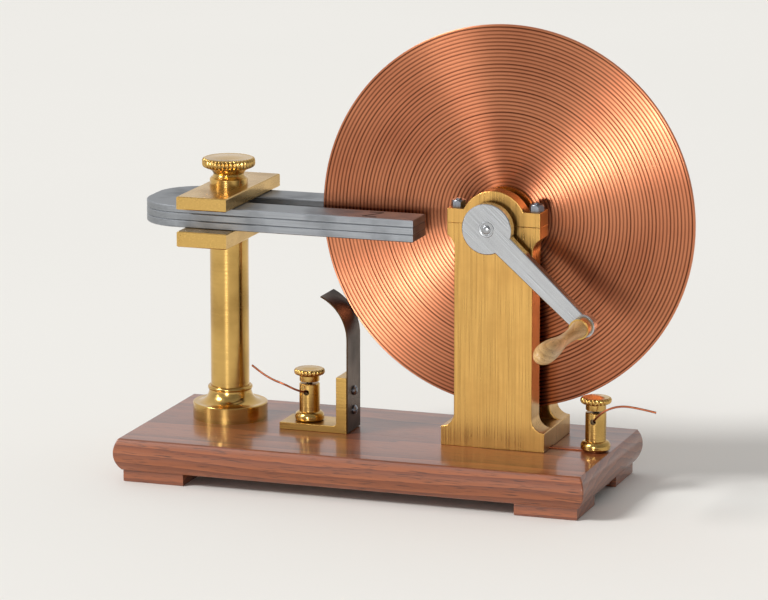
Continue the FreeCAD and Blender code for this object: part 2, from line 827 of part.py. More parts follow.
def make_caps():
    for label, y, turn in (
        ("front_bearing_cap", "plane_y - plate_middle", None),
        ("rear_bearing_cap", "plane_y + plate_middle", Rotation(UP, 180)),
    ):
        half_disc = dict(z="0", turn=TO_FRONT, sweep=180)
        solid = joined(
            box("ear_width", "frame_plate", "cap_ear_height"),
            cylinder("2 * cap_arch_radius", "cap_arch_depth", "0",
                     "cap_arch_depth - frame_plate / 2", **half_disc),
            cylinder("2 * cap_back_radius", "frame_plate", "0", "frame_plate / 2", **half_disc),
        )
        tools = [
            cylinder("bush_dia", "frame_plate + 2 * overrun", "0", "frame_plate / 2 + overrun", "0",
                     TO_FRONT)
        ]
        for side in ("-", ""):
            hole = "stud_dia + 2 * hole_clearance"
            height = "cap_ear_height + 2 * overrun"
            tools.append(cylinder(hole, height, f"{side}stud_spacing / 2", "0", "-overrun"))
        node(label, cut(solid, *tools), "shaft_x", y, "shaft_z", turn)

    studs = []
    nuts = []
    length = "stud_depth + cap_ear_height + stud_nut_height + stud_tip"
    for side in ("-", ""):
        for end in ("-", ""):
            at = (f"shaft_x + {end}stud_spacing / 2", f"plane_y + {side}plate_middle")
            stud = turned(chamfered_rod("stud_dia / 2", length, "stud_chamfer"))
            studs.append(place(stud, *at))
            nut = common(
                hexagon("stud_nut_flats", "stud_nut_height"),
                cone("stud_nut_cone_low", "stud_nut_cone_high", "stud_nut_height"),
            )
            bore = "stud_dia + 2 * hole_clearance"
            hole = cylinder(bore, "stud_nut_height + 2 * overrun", z="-overrun")
            nuts.append(place(cut(nut, hole), *at))
    node("cap_studs", group(*studs), z="shaft_z - stud_depth")
    node("cap_nuts", group(*nuts), z="shaft_z + cap_ear_height")


def make_bushes():
    bore = "shaft_dia / 2 + shaft_fit"
    length = "frame_plate + 2 * bush_flange_thick"
    corners = [
        (bore, "0"),
        ("bush_flange_dia / 2", "0"),
        ("bush_flange_dia / 2", "bush_flange_thick"),
        ("bush_dia / 2", "bush_flange_thick"),
        ("bush_dia / 2", "bush_flange_thick + frame_plate"),
        ("bush_flange_dia / 2", "bush_flange_thick + frame_plate"),
        ("bush_flange_dia / 2", length),
        (bore, length),
    ]
    half = "(bush_flange_dia / 2 + overrun)"
    for end, y in (("front", "plane_y - frame_gap / 2"), ("rear", "plane_y + frame_half")):
        for part, side in (("upper", ""), ("lower", "-")):
            deep = f"{length} + 2 * overrun"
            keep = box(f"2 * {half}", half, deep, "0", f"{side}{half} / 2", "-overrun")
            shell = common(turned(corners), keep)
            at = f"{y} + bush_flange_thick"
            node(f"{end}_bush_{part}", shell, "shaft_x", at, "shaft_z", TO_FRONT)


def screw_ring(dia, depth, low):
    """Holes or shanks for the hub screws, evenly round a turned piece's own axis."""
    count = SIZES["hub_screws"]
    step = 360 / count
    return [
        cylinder(dia, depth, f"hub_screw_circle / 2 * cos({step * i})",
                 f"hub_screw_circle / 2 * sin({step * i})", low)
        for i in range(count)
    ]


def cross_pin(length, z, turn=TO_BACK):
    """A hole or pin across a turned piece, centred on its axis at the given height."""
    if turn is TO_BACK:
        return cylinder("cross_pin_dia", length, "0", f"-({length}) / 2", z, turn)
    return cylinder("cross_pin_dia", length, f"-({length}) / 2", "0", z, turn)


def make_rotor():
    radius = "shaft_dia / 2"
    length = "shaft_rear + crank_front + shaft_proud"
    nose = "shaft_nose_dia / 2"
    shaft = turned(
        [
            ("0", "0"),
            (f"{radius} - shaft_chamfer", "0"),
            (radius, "shaft_chamfer"),
            (radius, f"{length} - shaft_chamfer"),
            (f"{radius} - shaft_chamfer", length),
            (nose, length),
            ("0", f"{length} + shaft_nose", dome_radius(nose, "shaft_nose"), 1),
        ]
    )
    pins = [
        cross_pin("shaft_dia + 2 * overrun", "shaft_rear + hub_pin_at"),
        cross_pin("shaft_dia + 2 * overrun", "shaft_rear + crank_pin_at", TO_RIGHT),
    ]
    bored = cut(shaft, pins[0])
    keyed = cut(bored, place(group(pins[1]), turn=Rotation(UP, -value("crank_angle"))))
    node("shaft", keyed, "shaft_x", "plane_y + shaft_rear", "shaft_z", TO_FRONT)

    bore = "shaft_dia / 2 + shaft_fit"
    rim = "disc_dia / 2"
    disc = turned(
        [
            (bore, "0"),
            (f"{rim} - disc_edge", "0"),
            (rim, "disc_edge"),
            (rim, "disc_thick - disc_edge"),
            (f"{rim} - disc_edge", "disc_thick"),
            (bore, "disc_thick"),
        ]
    )
    hole = "hub_screw_dia + 2 * hole_clearance"
    disc = cut(disc, *screw_ring(hole, "disc_thick + 2 * overrun", "-overrun"))
    node("copper_disc", disc, "shaft_x", "plane_y + disc_thick / 2", "shaft_z", TO_FRONT)

    boss_end = "hub_end - disc_thick / 2"
    for label, side, turn in (("front_hub", "-", TO_FRONT), ("rear_hub", "", TO_BACK)):
        hub = turned(
            [
                (bore, "0"),
                ("hub_flange_dia / 2", "0"),
                ("hub_flange_dia / 2", "hub_flange_thick"),
                ("hub_boss_dia / 2", "hub_flange_thick"),
                ("hub_boss_dia / 2", boss_end),
                (bore, boss_end),
            ]
        )
        tools = screw_ring(hole, "hub_flange_thick + 2 * overrun", "-overrun")
        if label == "front_hub":
            tools.append(cross_pin("hub_boss_dia + 2 * overrun", "hub_pin_at - disc_thick / 2"))
        node(label, cut(hub, *tools), "shaft_x", f"plane_y + {side}disc_thick / 2", "shaft_z", turn)

    grip = "hub_flange_thick + disc_thick + hub_flange_thick - hub_screw_short"
    shanks = screw_ring("hub_screw_dia", f"{grip} + hub_screw_head", "0")
    heads = screw_ring("hub_screw_head_dia", "hub_screw_head", grip)
    screws = group(*[joined(s, h) for s, h in zip(shanks, heads)])
    back = f"plane_y - disc_thick / 2 - hub_flange_thick + {grip}"
    node("hub_screws", screws, "shaft_x", back, "shaft_z", TO_FRONT)
    pin = cylinder("cross_pin_dia", "hub_boss_dia - 2 * pin_end_gap")
    pin_low = "shaft_z + pin_end_gap - hub_boss_dia / 2"
    node("hub_pin", pin, "shaft_x", "plane_y - hub_pin_at", pin_low)

    collar = turned(
        [
            (bore, "0"),
            ("shaft_collar_dia / 2 - shaft_collar_chamfer", "0"),
            ("shaft_collar_dia / 2", "shaft_collar_chamfer"),
            ("shaft_collar_dia / 2", "shaft_collar_length - shaft_collar_chamfer"),
            ("shaft_collar_dia / 2 - shaft_collar_chamfer", "shaft_collar_length"),
            (bore, "shaft_collar_length"),
        ]
    )
    hole = cylinder("grub_dia + 2 * hole_clearance", "shaft_collar_dia", "0", "0",
                    "shaft_collar_length / 2", TO_BACK)
    collar_y = "plane_y + shaft_rear - shaft_tail"
    node("shaft_collar", cut(collar, hole), "shaft_x", collar_y, "shaft_z", TO_FRONT)
    grub = cylinder("grub_dia", "(shaft_collar_dia - shaft_dia) / 2 - hole_clearance - grub_sink")
    node("collar_screw", grub, "shaft_x", f"{collar_y} - shaft_collar_length / 2",
         "shaft_z + shaft_dia / 2 + hole_clearance")


def crank_node(label, thing, y):
    """Places a piece built with the crank's arm along +X, turned down to the crank's angle."""
    node(label, thing, "shaft_x", y, "shaft_z", Rotation(BACK, value("crank_angle")))
    bind(thing, "Placement.Rotation.Angle", "crank_angle")


def make_crank():
    boss = "crank_boss_radius"
    end = "crank_end_radius"
    root_x = f"sqrt({boss}^2 - (crank_root_width / 2)^2)"
    tip_x = f"crank_reach - sqrt({end}^2 - (crank_tip_width / 2)^2)"
    profile = [
        (root_x, "-crank_root_width / 2", boss, 1),
        (tip_x, "-crank_tip_width / 2"),
        (f"crank_reach + {end}", "0", end, 1),
        (tip_x, "crank_tip_width / 2", end, 1),
        (root_x, "crank_root_width / 2"),
        ("0", boss, boss, 1),
        (f"-{boss}", "0", boss, 1),
        ("0", f"-{boss}", boss, 1),
    ]
    arm = padded("XZ_Plane", profile, "crank_thick", False)
    dressed(
        arm,
        "Chamfer",
        "crank_chamfer",
        lambda edge: abs(edge.BoundBox.YMax - edge.BoundBox.YMin) < 1e-6,
    )
    hub = cylinder("crank_hub_dia", "crank_hub_length + overrun", "0", "crank_hub_length", "0", TO_FRONT)
    solid = joined(arm, hub)
    length = "crank_thick + crank_hub_length + 2 * overrun"
    tools = [
        cylinder("shaft_dia + 2 * shaft_fit", length, "0", "crank_hub_length + overrun", "0", TO_FRONT),
        cylinder("spindle_dia + 2 * hole_clearance", length, "crank_reach", "overrun", "0", TO_FRONT),
        cylinder("cross_pin_dia", "crank_hub_dia + 2 * overrun", "-crank_hub_dia / 2 - overrun",
                 "crank_hub_length / 2", "0", TO_RIGHT),
    ]
    crank_node("crank_arm", cut(solid, *tools), "plane_y - crank_back")
    pin = cylinder("cross_pin_dia", "crank_hub_dia - 2 * pin_end_gap",
                   "pin_end_gap - crank_hub_dia / 2", "0", "0", TO_RIGHT)
    crank_node("crank_pin", group(pin), "plane_y - crank_pin_at")


def make_handle():
    at = ("handle_x", "plane_y - crank_front", "handle_z", TO_FRONT)
    bore = "spindle_dia / 2 + shaft_fit"
    outer = "ferrule_dia / 2"
    inner = "(ferrule_dia / 2 - ferrule_skin)"
    front = "end_play + ferrule_wall"
    rear = "end_play + ferrule_length"
    ferrule = turned(
        [
            (bore, "end_play"),
            (f"{outer} - ferrule_chamfer", "end_play"),
            (outer, "end_play + ferrule_chamfer"),
            (outer, rear),
            (inner, rear),
            (inner, front),
            (bore, front),
        ]
    )
    node("handle_ferrule", ferrule, *at)

    waist = "grip_waist_dia / 2"
    belly = "grip_belly_dia / 2"
    middle = ("(grip_waist_dia + grip_belly_dia) / 4", "(grip_waist_at + grip_belly_at) / 2")
    swell = dome_radius("(grip_belly_at - grip_waist_at) / 2", "(grip_belly_dia - grip_waist_dia) / 4")
    neck = dome_radius(f"grip_waist_at - ({rear})", f"grip_neck_dia / 2 - {waist}")
    grip = turned(
        [
            (bore, f"{front} + ferrule_recess"),
            (f"{inner} - shaft_fit", f"{front} + ferrule_recess"),
            (f"{inner} - shaft_fit", rear),
            ("grip_neck_dia / 2", rear),
            (waist, "grip_waist_at", neck, -1),
            (*middle, swell, -1),
            (belly, "grip_belly_at", swell, 1),
            ("tip_join_radius", "tip_join_at", "belly_arc", 1),
            ("0", "handle_length", "grip_tip_radius", 1),
            ("0", "grip_bore_depth"),
            (bore, "grip_bore_depth"),
        ]
    )
    node("handle_grip", grip, *at)

    collar_low = f"{front} + end_play"
    collar_high = f"{collar_low} + spindle_collar_thick"
    spindle = turned(
        [
            ("0", "-crank_thick"),
            ("spindle_dia / 2", "-crank_thick"),
            ("spindle_dia / 2", collar_low),
            ("spindle_collar_dia / 2", collar_low),
            ("spindle_collar_dia / 2", collar_high),
            ("spindle_dia / 2", collar_high),
            ("spindle_dia / 2", "grip_bore_depth - spindle_end_gap"),
            ("0", "grip_bore_depth - spindle_end_gap"),
        ]
    )
    node("handle_spindle", spindle, *at)


SCREW_HEIGHTS = ("strip_screw_low", "strip_screw_high")


def make_brush():
    inner = "bracket_thick + bracket_corner"
    profile = [
        ("-bracket_length", "0"),
        ("0", "0"),
        ("0", "bracket_rise"),
        ("-bracket_leg", "bracket_rise"),
        ("-bracket_leg", inner),
        ("-bracket_leg - bracket_corner", "bracket_thick", "bracket_corner", -1),
        ("-bracket_length", "bracket_thick"),
    ]
    bracket = padded("XZ_Plane", profile, "bracket_width")
    stud = "terminal_stud_dia + 2 * hole_clearance"
    tools = [
        cylinder(stud, "bracket_thick + 2 * overrun", "bracket_terminal_inset - bracket_length",
                 "0", "-overrun"),
        cylinder("dowel_dia + 2 * hole_clearance", "dowel_length - dowel_depth + overrun",
                 "dowel_inset - bracket_length", "0", "-overrun"),
    ]
    for height in SCREW_HEIGHTS:
        hole = "strip_screw_dia + 2 * hole_clearance"
        depth = "strip_screw_grip + pin_end_gap + overrun"
        tools.append(cylinder(hole, depth, "-strip_screw_grip - pin_end_gap", "0", height, TO_RIGHT))
    node("brush_bracket", cut(bracket, *tools), "strip_face_x", "bracket_y", "base_top")
    dowel = cylinder("dowel_dia", "dowel_length - 2 * dowel_end_gap")
    node("bracket_dowel", dowel, DOWEL_X, "bracket_y", "base_top - dowel_depth + dowel_end_gap")

    # the strip stands on the bracket's right face, then curls to the left along an arc that
    # touches the disc's rim
    turn_x = "strip_thick - strip_curl"
    inner_curl = "(strip_curl - strip_thick)"
    strip = padded(
        "XZ_Plane",
        [
            ("0", "strip_foot"),
            ("strip_thick", "strip_foot"),
            ("strip_thick", "curl_rise"),
            (f"{turn_x} + strip_curl * cos(strip_curl_angle)",
             "curl_rise + strip_curl * sin(strip_curl_angle)", "strip_curl", 1),
            (f"{turn_x} + {inner_curl} * cos(strip_curl_angle)",
             f"curl_rise + {inner_curl} * sin(strip_curl_angle)"),
            ("0", "curl_rise", inner_curl, -1),
        ],
        "bracket_width",
    )
    holes = [
        cylinder("strip_screw_dia + 2 * hole_clearance", "strip_thick + 2 * overrun", "-overrun",
                 "0", height, TO_RIGHT)
        for height in SCREW_HEIGHTS
    ]
    node("contact_strip", cut(strip, *holes), "strip_face_x", "bracket_y", "base_top")

    screws = []
    for height in SCREW_HEIGHTS:
        low = "-strip_thick - strip_screw_grip"
        screw = turned(
            [
                ("0", low),
                ("strip_screw_dia / 2", low),
                ("strip_screw_dia / 2", "0"),
                ("strip_screw_head_dia / 2", "0"),
                ("strip_screw_head_dia / 2", "strip_screw_rim"),
                ("0", "strip_screw_head",
                 dome_radius("strip_screw_head_dia / 2", "strip_screw_head - strip_screw_rim"), 1),
            ]
        )
        slot = box("strip_screw_head_dia + 2 * overrun", "strip_screw_slot", "2 * overrun",
                   z="strip_screw_head - strip_screw_slot")
        screws.append(place(cut(screw, slot), "strip_thick", "0", height, TO_RIGHT))
    node("strip_screws", group(*screws), "strip_face_x", "bracket_y", "base_top")


def make_terminal(name, x, y, z):
    ceiling = "foot_height + terminal_recess_depth"
    fastened = "terminal_washer_thick + terminal_nut_height + terminal_tail"
    stud_low = f"{ceiling} - ({fastened}) - ({z})"
    bore = "stem_dia / 2 + stem_clearance"
    bore_low = "wire_hole_height - wire_hole_dia / 2 - stem_bore_below"
    belly = ("bead_dia / 2", "bead_height / 3")
    post = turned(
        [
            ("0", stud_low),
            ("terminal_stud_dia / 2", stud_low),
            ("terminal_stud_dia / 2", "0"),
            ("bead_foot_dia / 2", "0"),
            (*belly, chord_radius("bead_foot_dia / 2", "0", *belly), 1),
            ("bead_neck_dia / 2", "bead_height",
             chord_radius(*belly, "bead_neck_dia / 2", "bead_height"), 1),
            ("post_dia / 2", "bead_height"),
            ("post_dia / 2", "post_height - post_chamfer"),
            ("post_dia / 2 - post_chamfer", "post_height"),
            (bore, "post_height"),
            (bore, bore_low),
            ("0", bore_low),
        ]
    )
    wire_hole = cylinder("wire_hole_dia", "post_dia + 2 * overrun", "0", "post_dia / 2 + overrun",
                         "wire_hole_height", TO_FRONT)
    node(f"{name}_terminal_post", cut(post, wire_hole), x, y, z)

    stem_low = "wire_hole_height + lead_dia / 2 + hole_clearance"
    head_low = "post_height + neck_gap"
    stem_length = f"{head_low} + neck_height + thumb_seat - ({stem_low}) - stem_end_gap"
    stem = turned(chamfered_rod("stem_dia / 2", stem_length, "stem_chamfer"))
    node(f"{name}_terminal_screw", stem, x, y, f"{z} + {stem_low}")

    edge = "thumb_dia / 2 - thumb_edge"
    top = "neck_height + thumb_height"
    thumb = turned(
        [
            (bore, "0"),
            ("neck_dia / 2", "0"),
            ("neck_dia / 2", "neck_height"),
            (edge, "neck_height"),
            ("thumb_dia / 2", "neck_height + thumb_edge", "thumb_edge", 1),
            ("thumb_dia / 2", f"{top} - thumb_dome - thumb_edge"),
            (edge, f"{top} - thumb_dome", "thumb_edge", 1),
            ("0", top, dome_radius(edge, "thumb_dome"), 1),
            ("0", "neck_height + thumb_seat"),
            (bore, "neck_height + thumb_seat"),
        ]
    )
    ring = "thumb_dia / 2 + thumb_flute_radius - thumb_flute_depth"
    fluted(thumb, ring, "thumb_flute_radius", "thumb_flutes")
    node(f"{name}_terminal_head", thumb, x, y, f"{z} + {head_low}")

    hole = "terminal_stud_dia + 2 * hole_clearance"
    washer = cut(
        cylinder("terminal_washer_dia", "terminal_washer_thick"),
        cylinder(hole, "terminal_washer_thick + 2 * overrun", z="-overrun"),
    )
    nut = cut(
        hexagon("terminal_nut_flats", "terminal_nut_height"),
        cylinder(hole, "terminal_nut_height + 2 * overrun", z="-overrun"),
    )
    place(washer, z="terminal_nut_height")
    low = f"{ceiling} - terminal_washer_thick - terminal_nut_height"
    node(f"{name}_terminal_nut", group(nut, washer), x, y, low)


def make_link():
    start = "shaft_x + frame_foot_width / 2 - link_lap + link_room"
    length = f"base_terminal_x - ({start})"
    strip = joined(
        box(length, "link_width", "link_thick", f"-({length}) / 2"),
        cylinder("link_eye_dia", "link_thick"),
    )
    hole = cylinder("terminal_stud_dia + 2 * hole_clearance", "link_thick + 2 * overrun", z="-overrun")
    node("connecting_strip", cut(strip, hole), "base_terminal_x", "base_terminal_y", "base_top")


# the leads' routes, from inside the wire hole outwards, about the hole's middle
LEAD_ROUTES = {
    "bracket": [
        (0.0, 1.4, 0.0),
        (0.0, -6.2, 0.0),
        (-4.5, -12.0, 2.5),
        (-12.5, -12.5, 6.0),
        (-21.5, -8.5, 7.2),
        (-30.5, -4.5, 10.0),
        (-38.0, -1.5, 13.8),
    ],
    "base": [
        (0.0, 1.2, 0.0),
        (0.0, -6.2, 0.0),
        (3.6, -11.2, 4.2),
        (9.5, -11.2, 9.6),
        (18.5, -8.5, 12.3),
        (29.5, -6.8, 11.0),
        (40.0, -6.0, 9.0),
    ],
}
ARC_SHARE = 0.45


def wire_path(points):
    """Straight runs joined by tangent arcs, each as large as its two runs allow, and the radii."""
    edges = []
    radii = []
    at = points[0]
    for before, corner, after in zip(points, points[1:], points[2:]):
        back = (before - corner).normalize()
        ahead = (after - corner).normalize()
        reach = ARC_SHARE * min((before - corner).Length, (after - corner).Length)
        half_turn = (math.pi - back.getAngle(ahead)) / 2
        radius = reach / math.tan(half_turn)
        radii.append(radius)
        start = corner + back * reach
        finish = corner + ahead * reach
        inward = (back + ahead).normalize()
        middle = corner + inward * (radius / math.cos(half_turn) - radius)
        edges.append(Part.LineSegment(at, start).toShape())
        edges.append(Part.Arc(start, middle, finish).toShape())
        at = finish
    edges.append(Part.LineSegment(at, points[-1]).toShape())
    return Part.Wire(edges), radii


def make_leads():
    radius = value("lead_dia / 2")
    for name, route in LEAD_ROUTES.items():
        points = [Vector(*point) for point in route]
        path, radii = wire_path(points)
        profile = Part.Wire([Part.makeCircle(radius, points[0], points[1] - points[0])])
        tube = path.makePipeShell([profile], True, False)
        expected = math.pi * radius**2 * path.Length
        print(f"{name}_lead: length {path.Length:.1f}, radii {[round(r, 1) for r in radii]}")
        print(f"{name}_lead: volume {tube.Volume:.2f}, section times length {expected:.2f}")
        lead = doc.addObject("Part::Feature", "Lead")
        lead.Shape = tube
        x, y, z = TERMINALS[name]
        node(f"{name}_lead", lead, x, y, f"{z} + wire_hole_height")


def check_and_export():
    doc.recompute()
    for thing in doc.Objects:
        bad = {"Invalid", "Error"} & set(thing.State)
        if bad:
            raise RuntimeError(f"{thing.Name} ({thing.Label}) is {sorted(bad)}")
    for label, thing in nodes.items():
        if thing.Shape.isNull() or not thing.Shape.isValid() or not thing.Shape.Solids:
            raise RuntimeError(f"{label} has no valid solid")
    os.makedirs("parts", exist_ok=True)
    for label, thing in nodes.items():
        thing.Shape.exportStep(f"parts/{label}.step")
    print(f"{len(nodes)} sub-parts written")


sheet = fill_sheets()
make_base()
make_feet()
make_column()
make_clamp_plates()
make_magnets()
make_clamp_knob()
make_frame()
make_caps()
make_bushes()
make_rotor()
make_crank()
make_handle()
make_brush()
for terminal, where in TERMINALS.items():
    make_terminal(terminal, *where)
make_link()
make_leads()
check_and_export()
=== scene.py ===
"""A disc generator on a pale floor: a copper disc cranked between horseshoe magnets.

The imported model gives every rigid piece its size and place. This script gives the pieces their
finishes, builds again those whose surface needs more than the plain solid, lays the two bare
leads, and sets up the camera, the lamps and the floor. Lengths are in metres unless a name ends
in _mm.
"""

import logging
import math
from dataclasses import dataclass
from enum import Enum
from functools import cache, partial
from typing import Callable, Sequence

import bmesh
import bpy
from bpy.types import Material, Mesh, Node, NodeSocket, NodeTree, Object
from mathutils import Matrix, Vector


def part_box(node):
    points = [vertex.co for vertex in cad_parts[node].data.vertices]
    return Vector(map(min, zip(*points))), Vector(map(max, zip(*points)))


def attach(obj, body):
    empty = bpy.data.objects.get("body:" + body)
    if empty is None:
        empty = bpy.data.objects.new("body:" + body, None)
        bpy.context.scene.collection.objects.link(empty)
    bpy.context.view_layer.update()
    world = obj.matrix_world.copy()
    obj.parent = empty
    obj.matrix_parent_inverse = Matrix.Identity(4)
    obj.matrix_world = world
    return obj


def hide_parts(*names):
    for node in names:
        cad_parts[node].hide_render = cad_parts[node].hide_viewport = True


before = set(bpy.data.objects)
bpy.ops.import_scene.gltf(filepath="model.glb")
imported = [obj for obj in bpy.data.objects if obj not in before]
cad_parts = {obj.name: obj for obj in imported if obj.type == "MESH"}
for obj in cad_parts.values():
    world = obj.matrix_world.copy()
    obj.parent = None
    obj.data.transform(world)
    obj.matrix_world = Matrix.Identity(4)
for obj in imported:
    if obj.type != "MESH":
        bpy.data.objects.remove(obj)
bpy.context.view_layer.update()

MM = 0.001
QUARTER = math.radians(90)
# two corners closer than this are one
MERGE = 0.002 * MM
# edges that turn by more than this stay sharp
SHARP = math.radians(32)
# a profile's corner isn't rounded where its two sides open wider than this
NEARLY_STRAIGHT = math.radians(155)

Point = tuple[float, float, float]
# a corner of a turned profile: (radius, height), or (radius, height, flute share)
Corner = tuple[float, ...]
# what adds a node to a tree
Put = Callable[..., Node]
Outline = Sequence[tuple[float, float]]
log = logging.getLogger("disc_generator")

# the types of the nodes that are used most
MATH = "ShaderNodeMath"
VECTOR = "ShaderNodeVectorMath"
RANGE = "ShaderNodeMapRange"
MIX = "ShaderNodeMix"
CLOUD = "ShaderNodeTexNoise"
PLACE = "ShaderNodeTexCoord"
JOIN = "ShaderNodeCombineXYZ"
SPLIT = "ShaderNodeSeparateXYZ"
OTHER = "GeometryNodeObjectInfo"


def linear(colour: str) -> tuple[float, float, float, float]:
    """Turns an sRGB hex colour into linear values.

    Args:
        colour: the colour as "#rrggbb".

    Returns:
        Red, green, blue and alpha, as a shader's colour socket takes them.
    """
    parts = [int(colour[i : i + 2], 16) / 255 for i in (1, 3, 5)]
    red, green, blue = (p / 12.92 if p <= 0.04045 else ((p + 0.055) / 1.055) ** 2.4 for p in parts)
    return red, green, blue, 1.0


def add(
    tree: NodeTree, kind: str, inputs: dict | Sequence = (), operation: str = "", **settings: object
) -> Node:
    """Adds one node to a tree.

    Args:
        tree: the tree of a material, a world or a shape.
        kind: the node's type.
        inputs: what goes into its inputs, in their order or by their names: a value, a node, whose
            first output is linked, or a node's output.
        operation: what it works out, where its type has a choice.
        **settings: the node's other settings.

    Returns:
        The new node.
    """
    node = tree.nodes.new(kind)
    if operation:
        node.operation = operation
    for name, setting in settings.items():
        setattr(node, name, setting)
    for key, given in inputs.items() if isinstance(inputs, dict) else enumerate(inputs):
        if isinstance(given, Node):
            given = next(output for output in given.outputs if output.enabled)
        if isinstance(given, NodeSocket):
            tree.links.new(given, node.inputs[key])
        else:
            node.inputs[key].default_value = given
    return node


def centre_of(node: str) -> Vector:
    """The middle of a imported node's box."""
    low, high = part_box(node)
    return (low + high) / 2


class Run(Enum):
    """The way that the tool marks of a metal run.

    Each gives the line that they follow and its turn about the shaft. On a turned piece they go
    round the line, and there is no turn.
    """

    ALONG_X = (1, 0, 0), 0.0
    ALONG_Y = (0, 1, 0), 0.0
    ALONG_Z = (0, 0, 1), 0.0
    # the crank's own angle at rest
    ALONG_CRANK = (1, 0, 0), math.radians(42.3)
    ROUND_Y = (0, 1, 0), None
    ROUND_Z = (0, 0, 1), None


@dataclass(frozen=True)
class Finish:
    """One surface finish."""

    name: str

    def material(self) -> Material:
        """Makes the finish's material when it is first asked for.

        Returns:
            The material.
        """
        made = bpy.data.materials.get(self.name)
        if made is None:
            made = bpy.data.materials.new(self.name)
            made.use_nodes = True
            made.node_tree.nodes.clear()
            put = partial(add, made.node_tree)
            shader = put("ShaderNodeBsdfPrincipled", self.inputs(put))
            put("ShaderNodeOutputMaterial", {"Surface": shader})
        return made

    def inputs(self, put: Put) -> dict[str, object]:
        """What the inputs of the finish's shader take, by name."""
        raise NotImplementedError


@dataclass(frozen=True)
class Metal(Finish):
    """A metal with tool marks, cloudy tarnish, painted shade in its hollows, and worn edges with a
    painted highlight.

    colour is the clean metal and tarnish what it dulls to. pitch_mm is the spacing of the tool
    marks, drawn coarser than the real 0.1 to 0.3 mm so that they show in a picture of the whole
    object. axis is a point on the axis of a turned piece.
    """

    colour: str
    tarnish: str
    run: Run
    roughness: float = 0.24
    pitch_mm: float = 0.9
    marks: float = 0.25
    stain: float = 0.5
    anisotropy: float = 0.0
    axis: Point = (0.0, 0.0, 0.0)
    # how far in from an edge the metal is worn back to clean metal and painted brighter still as a
    # painted highlight, and how much
    edge_wear_and_highlight_mm: float = 0.9
    edge_wear_and_highlight: float = 0.5
    # the marks fade along their run over this many pitches
    stretch: float = 60.0
    mark_depth_mm: float = 0.12
    # clouds of tarnish in a metre
    clouds: float = 38.0
    # how near another surface the metal is darkened towards its tarnish colour: painted shade
    shade_reach_mm: float = 6.0

    def inputs(self, put: Put) -> dict[str, object]:
        """Builds the metal: cloudy tarnish, painted shade, marks in the bump and the roughness,
        worn edges with a painted highlight.

        Args:
            put: adds a node to the material.

        Returns:
            What its shader's inputs take, by name.
        """
        coords = put(PLACE).outputs["Object"]
        about = put(VECTOR, (coords, self.axis), "SUBTRACT")
        line, turn = self.run.value
        fine = 1 / (self.pitch_mm * MM)
        if turn is None:
            across = put(VECTOR, (about, [1 - part for part in line]), "MULTIPLY")
            height = put(VECTOR, (about, line), "DOT_PRODUCT")
            spot = put(JOIN, (put(VECTOR, (across,), "LENGTH"), height))
            scale = (fine, fine, fine)
        else:
            spot = put("ShaderNodeMapping", {"Vector": about, "Rotation": (0, -turn, 0)})
            scale = [fine / self.stretch if part else fine for part in line]
        marked = put(VECTOR, (spot, scale), "MULTIPLY")
        lines = put(CLOUD, {"Vector": marked, "Scale": 1.0, "Detail": 3.0})
        cloud = put(CLOUD, {"Vector": coords, "Scale": self.clouds, "Detail": 5.0})
        stained = put(RANGE, (cloud, 0.42, 0.72, 0.0, self.stain))
        # ambient occlusion darkens the colour towards the tarnish where another surface is near:
        # painted shade in hollows and between parts
        occlusion = put("ShaderNodeAmbientOcclusion", {"Distance": self.shade_reach_mm * MM}, samples=6)
        occlusion_shade = put(RANGE, (occlusion.outputs["AO"], 0.3, 0.8, 0.7, 0.0))
        flat = put("ShaderNodeNewGeometry").outputs["Normal"]
        eased = put("ShaderNodeBevel", {"Radius": self.edge_wear_and_highlight_mm * MM}, samples=4)
        facing = put(VECTOR, (flat, eased), "DOT_PRODUCT")
        # near an edge the tarnish is worn off, and the colour is lifted as a painted highlight
        worn_and_highlit_edge = put(RANGE, (facing, 0.985, 0.9, 0.0, self.edge_wear_and_highlight))
        # the stain and the painted shade, less the worn edges, turn the metal towards its tarnish
        # colour
        stain_and_shade = put(MATH, (stained, occlusion_shade), "MAXIMUM")
        dull = put(MATH, (stain_and_shade, worn_and_highlit_edge), "SUBTRACT", use_clamp=True)
        tones = {"Factor": dull, "A": linear(self.colour), "B": linear(self.tarnish)}
        body = put(MIX, tones, data_type="RGBA")
        shade = put(RANGE, (lines, 0.3, 0.7, 1 - 0.45 * self.marks, 1.0))
        # edges are painted up to a quarter brighter than the clean metal: a painted highlight
        lit = put(MATH, (worn_and_highlit_edge, 0.25, shade), "MULTIPLY_ADD")
        worn = put(MATH, (lines, dull), "ADD")
        bump = {"Height": lines, "Strength": self.marks, "Distance": self.mark_depth_mm * MM}
        inputs = {
            "Base Color": put(VECTOR, {0: body, "Scale": lit}, "SCALE"),
            "Metallic": 1.0,
            "Roughness": put(RANGE, (worn, 0.3, 1.2, 0.8 * self.roughness, 1.45 * self.roughness)),
            "Normal": put("ShaderNodeBump", bump),
            "Anisotropic": self.anisotropy,
            "Anisotropic Rotation": 0.25,
        }
        if self.anisotropy:
            axis = "Z" if self.run is Run.ROUND_Z else "Y"
            inputs["Tangent"] = put("ShaderNodeTangent", direction_type="RADIAL", axis=axis)
        return inputs


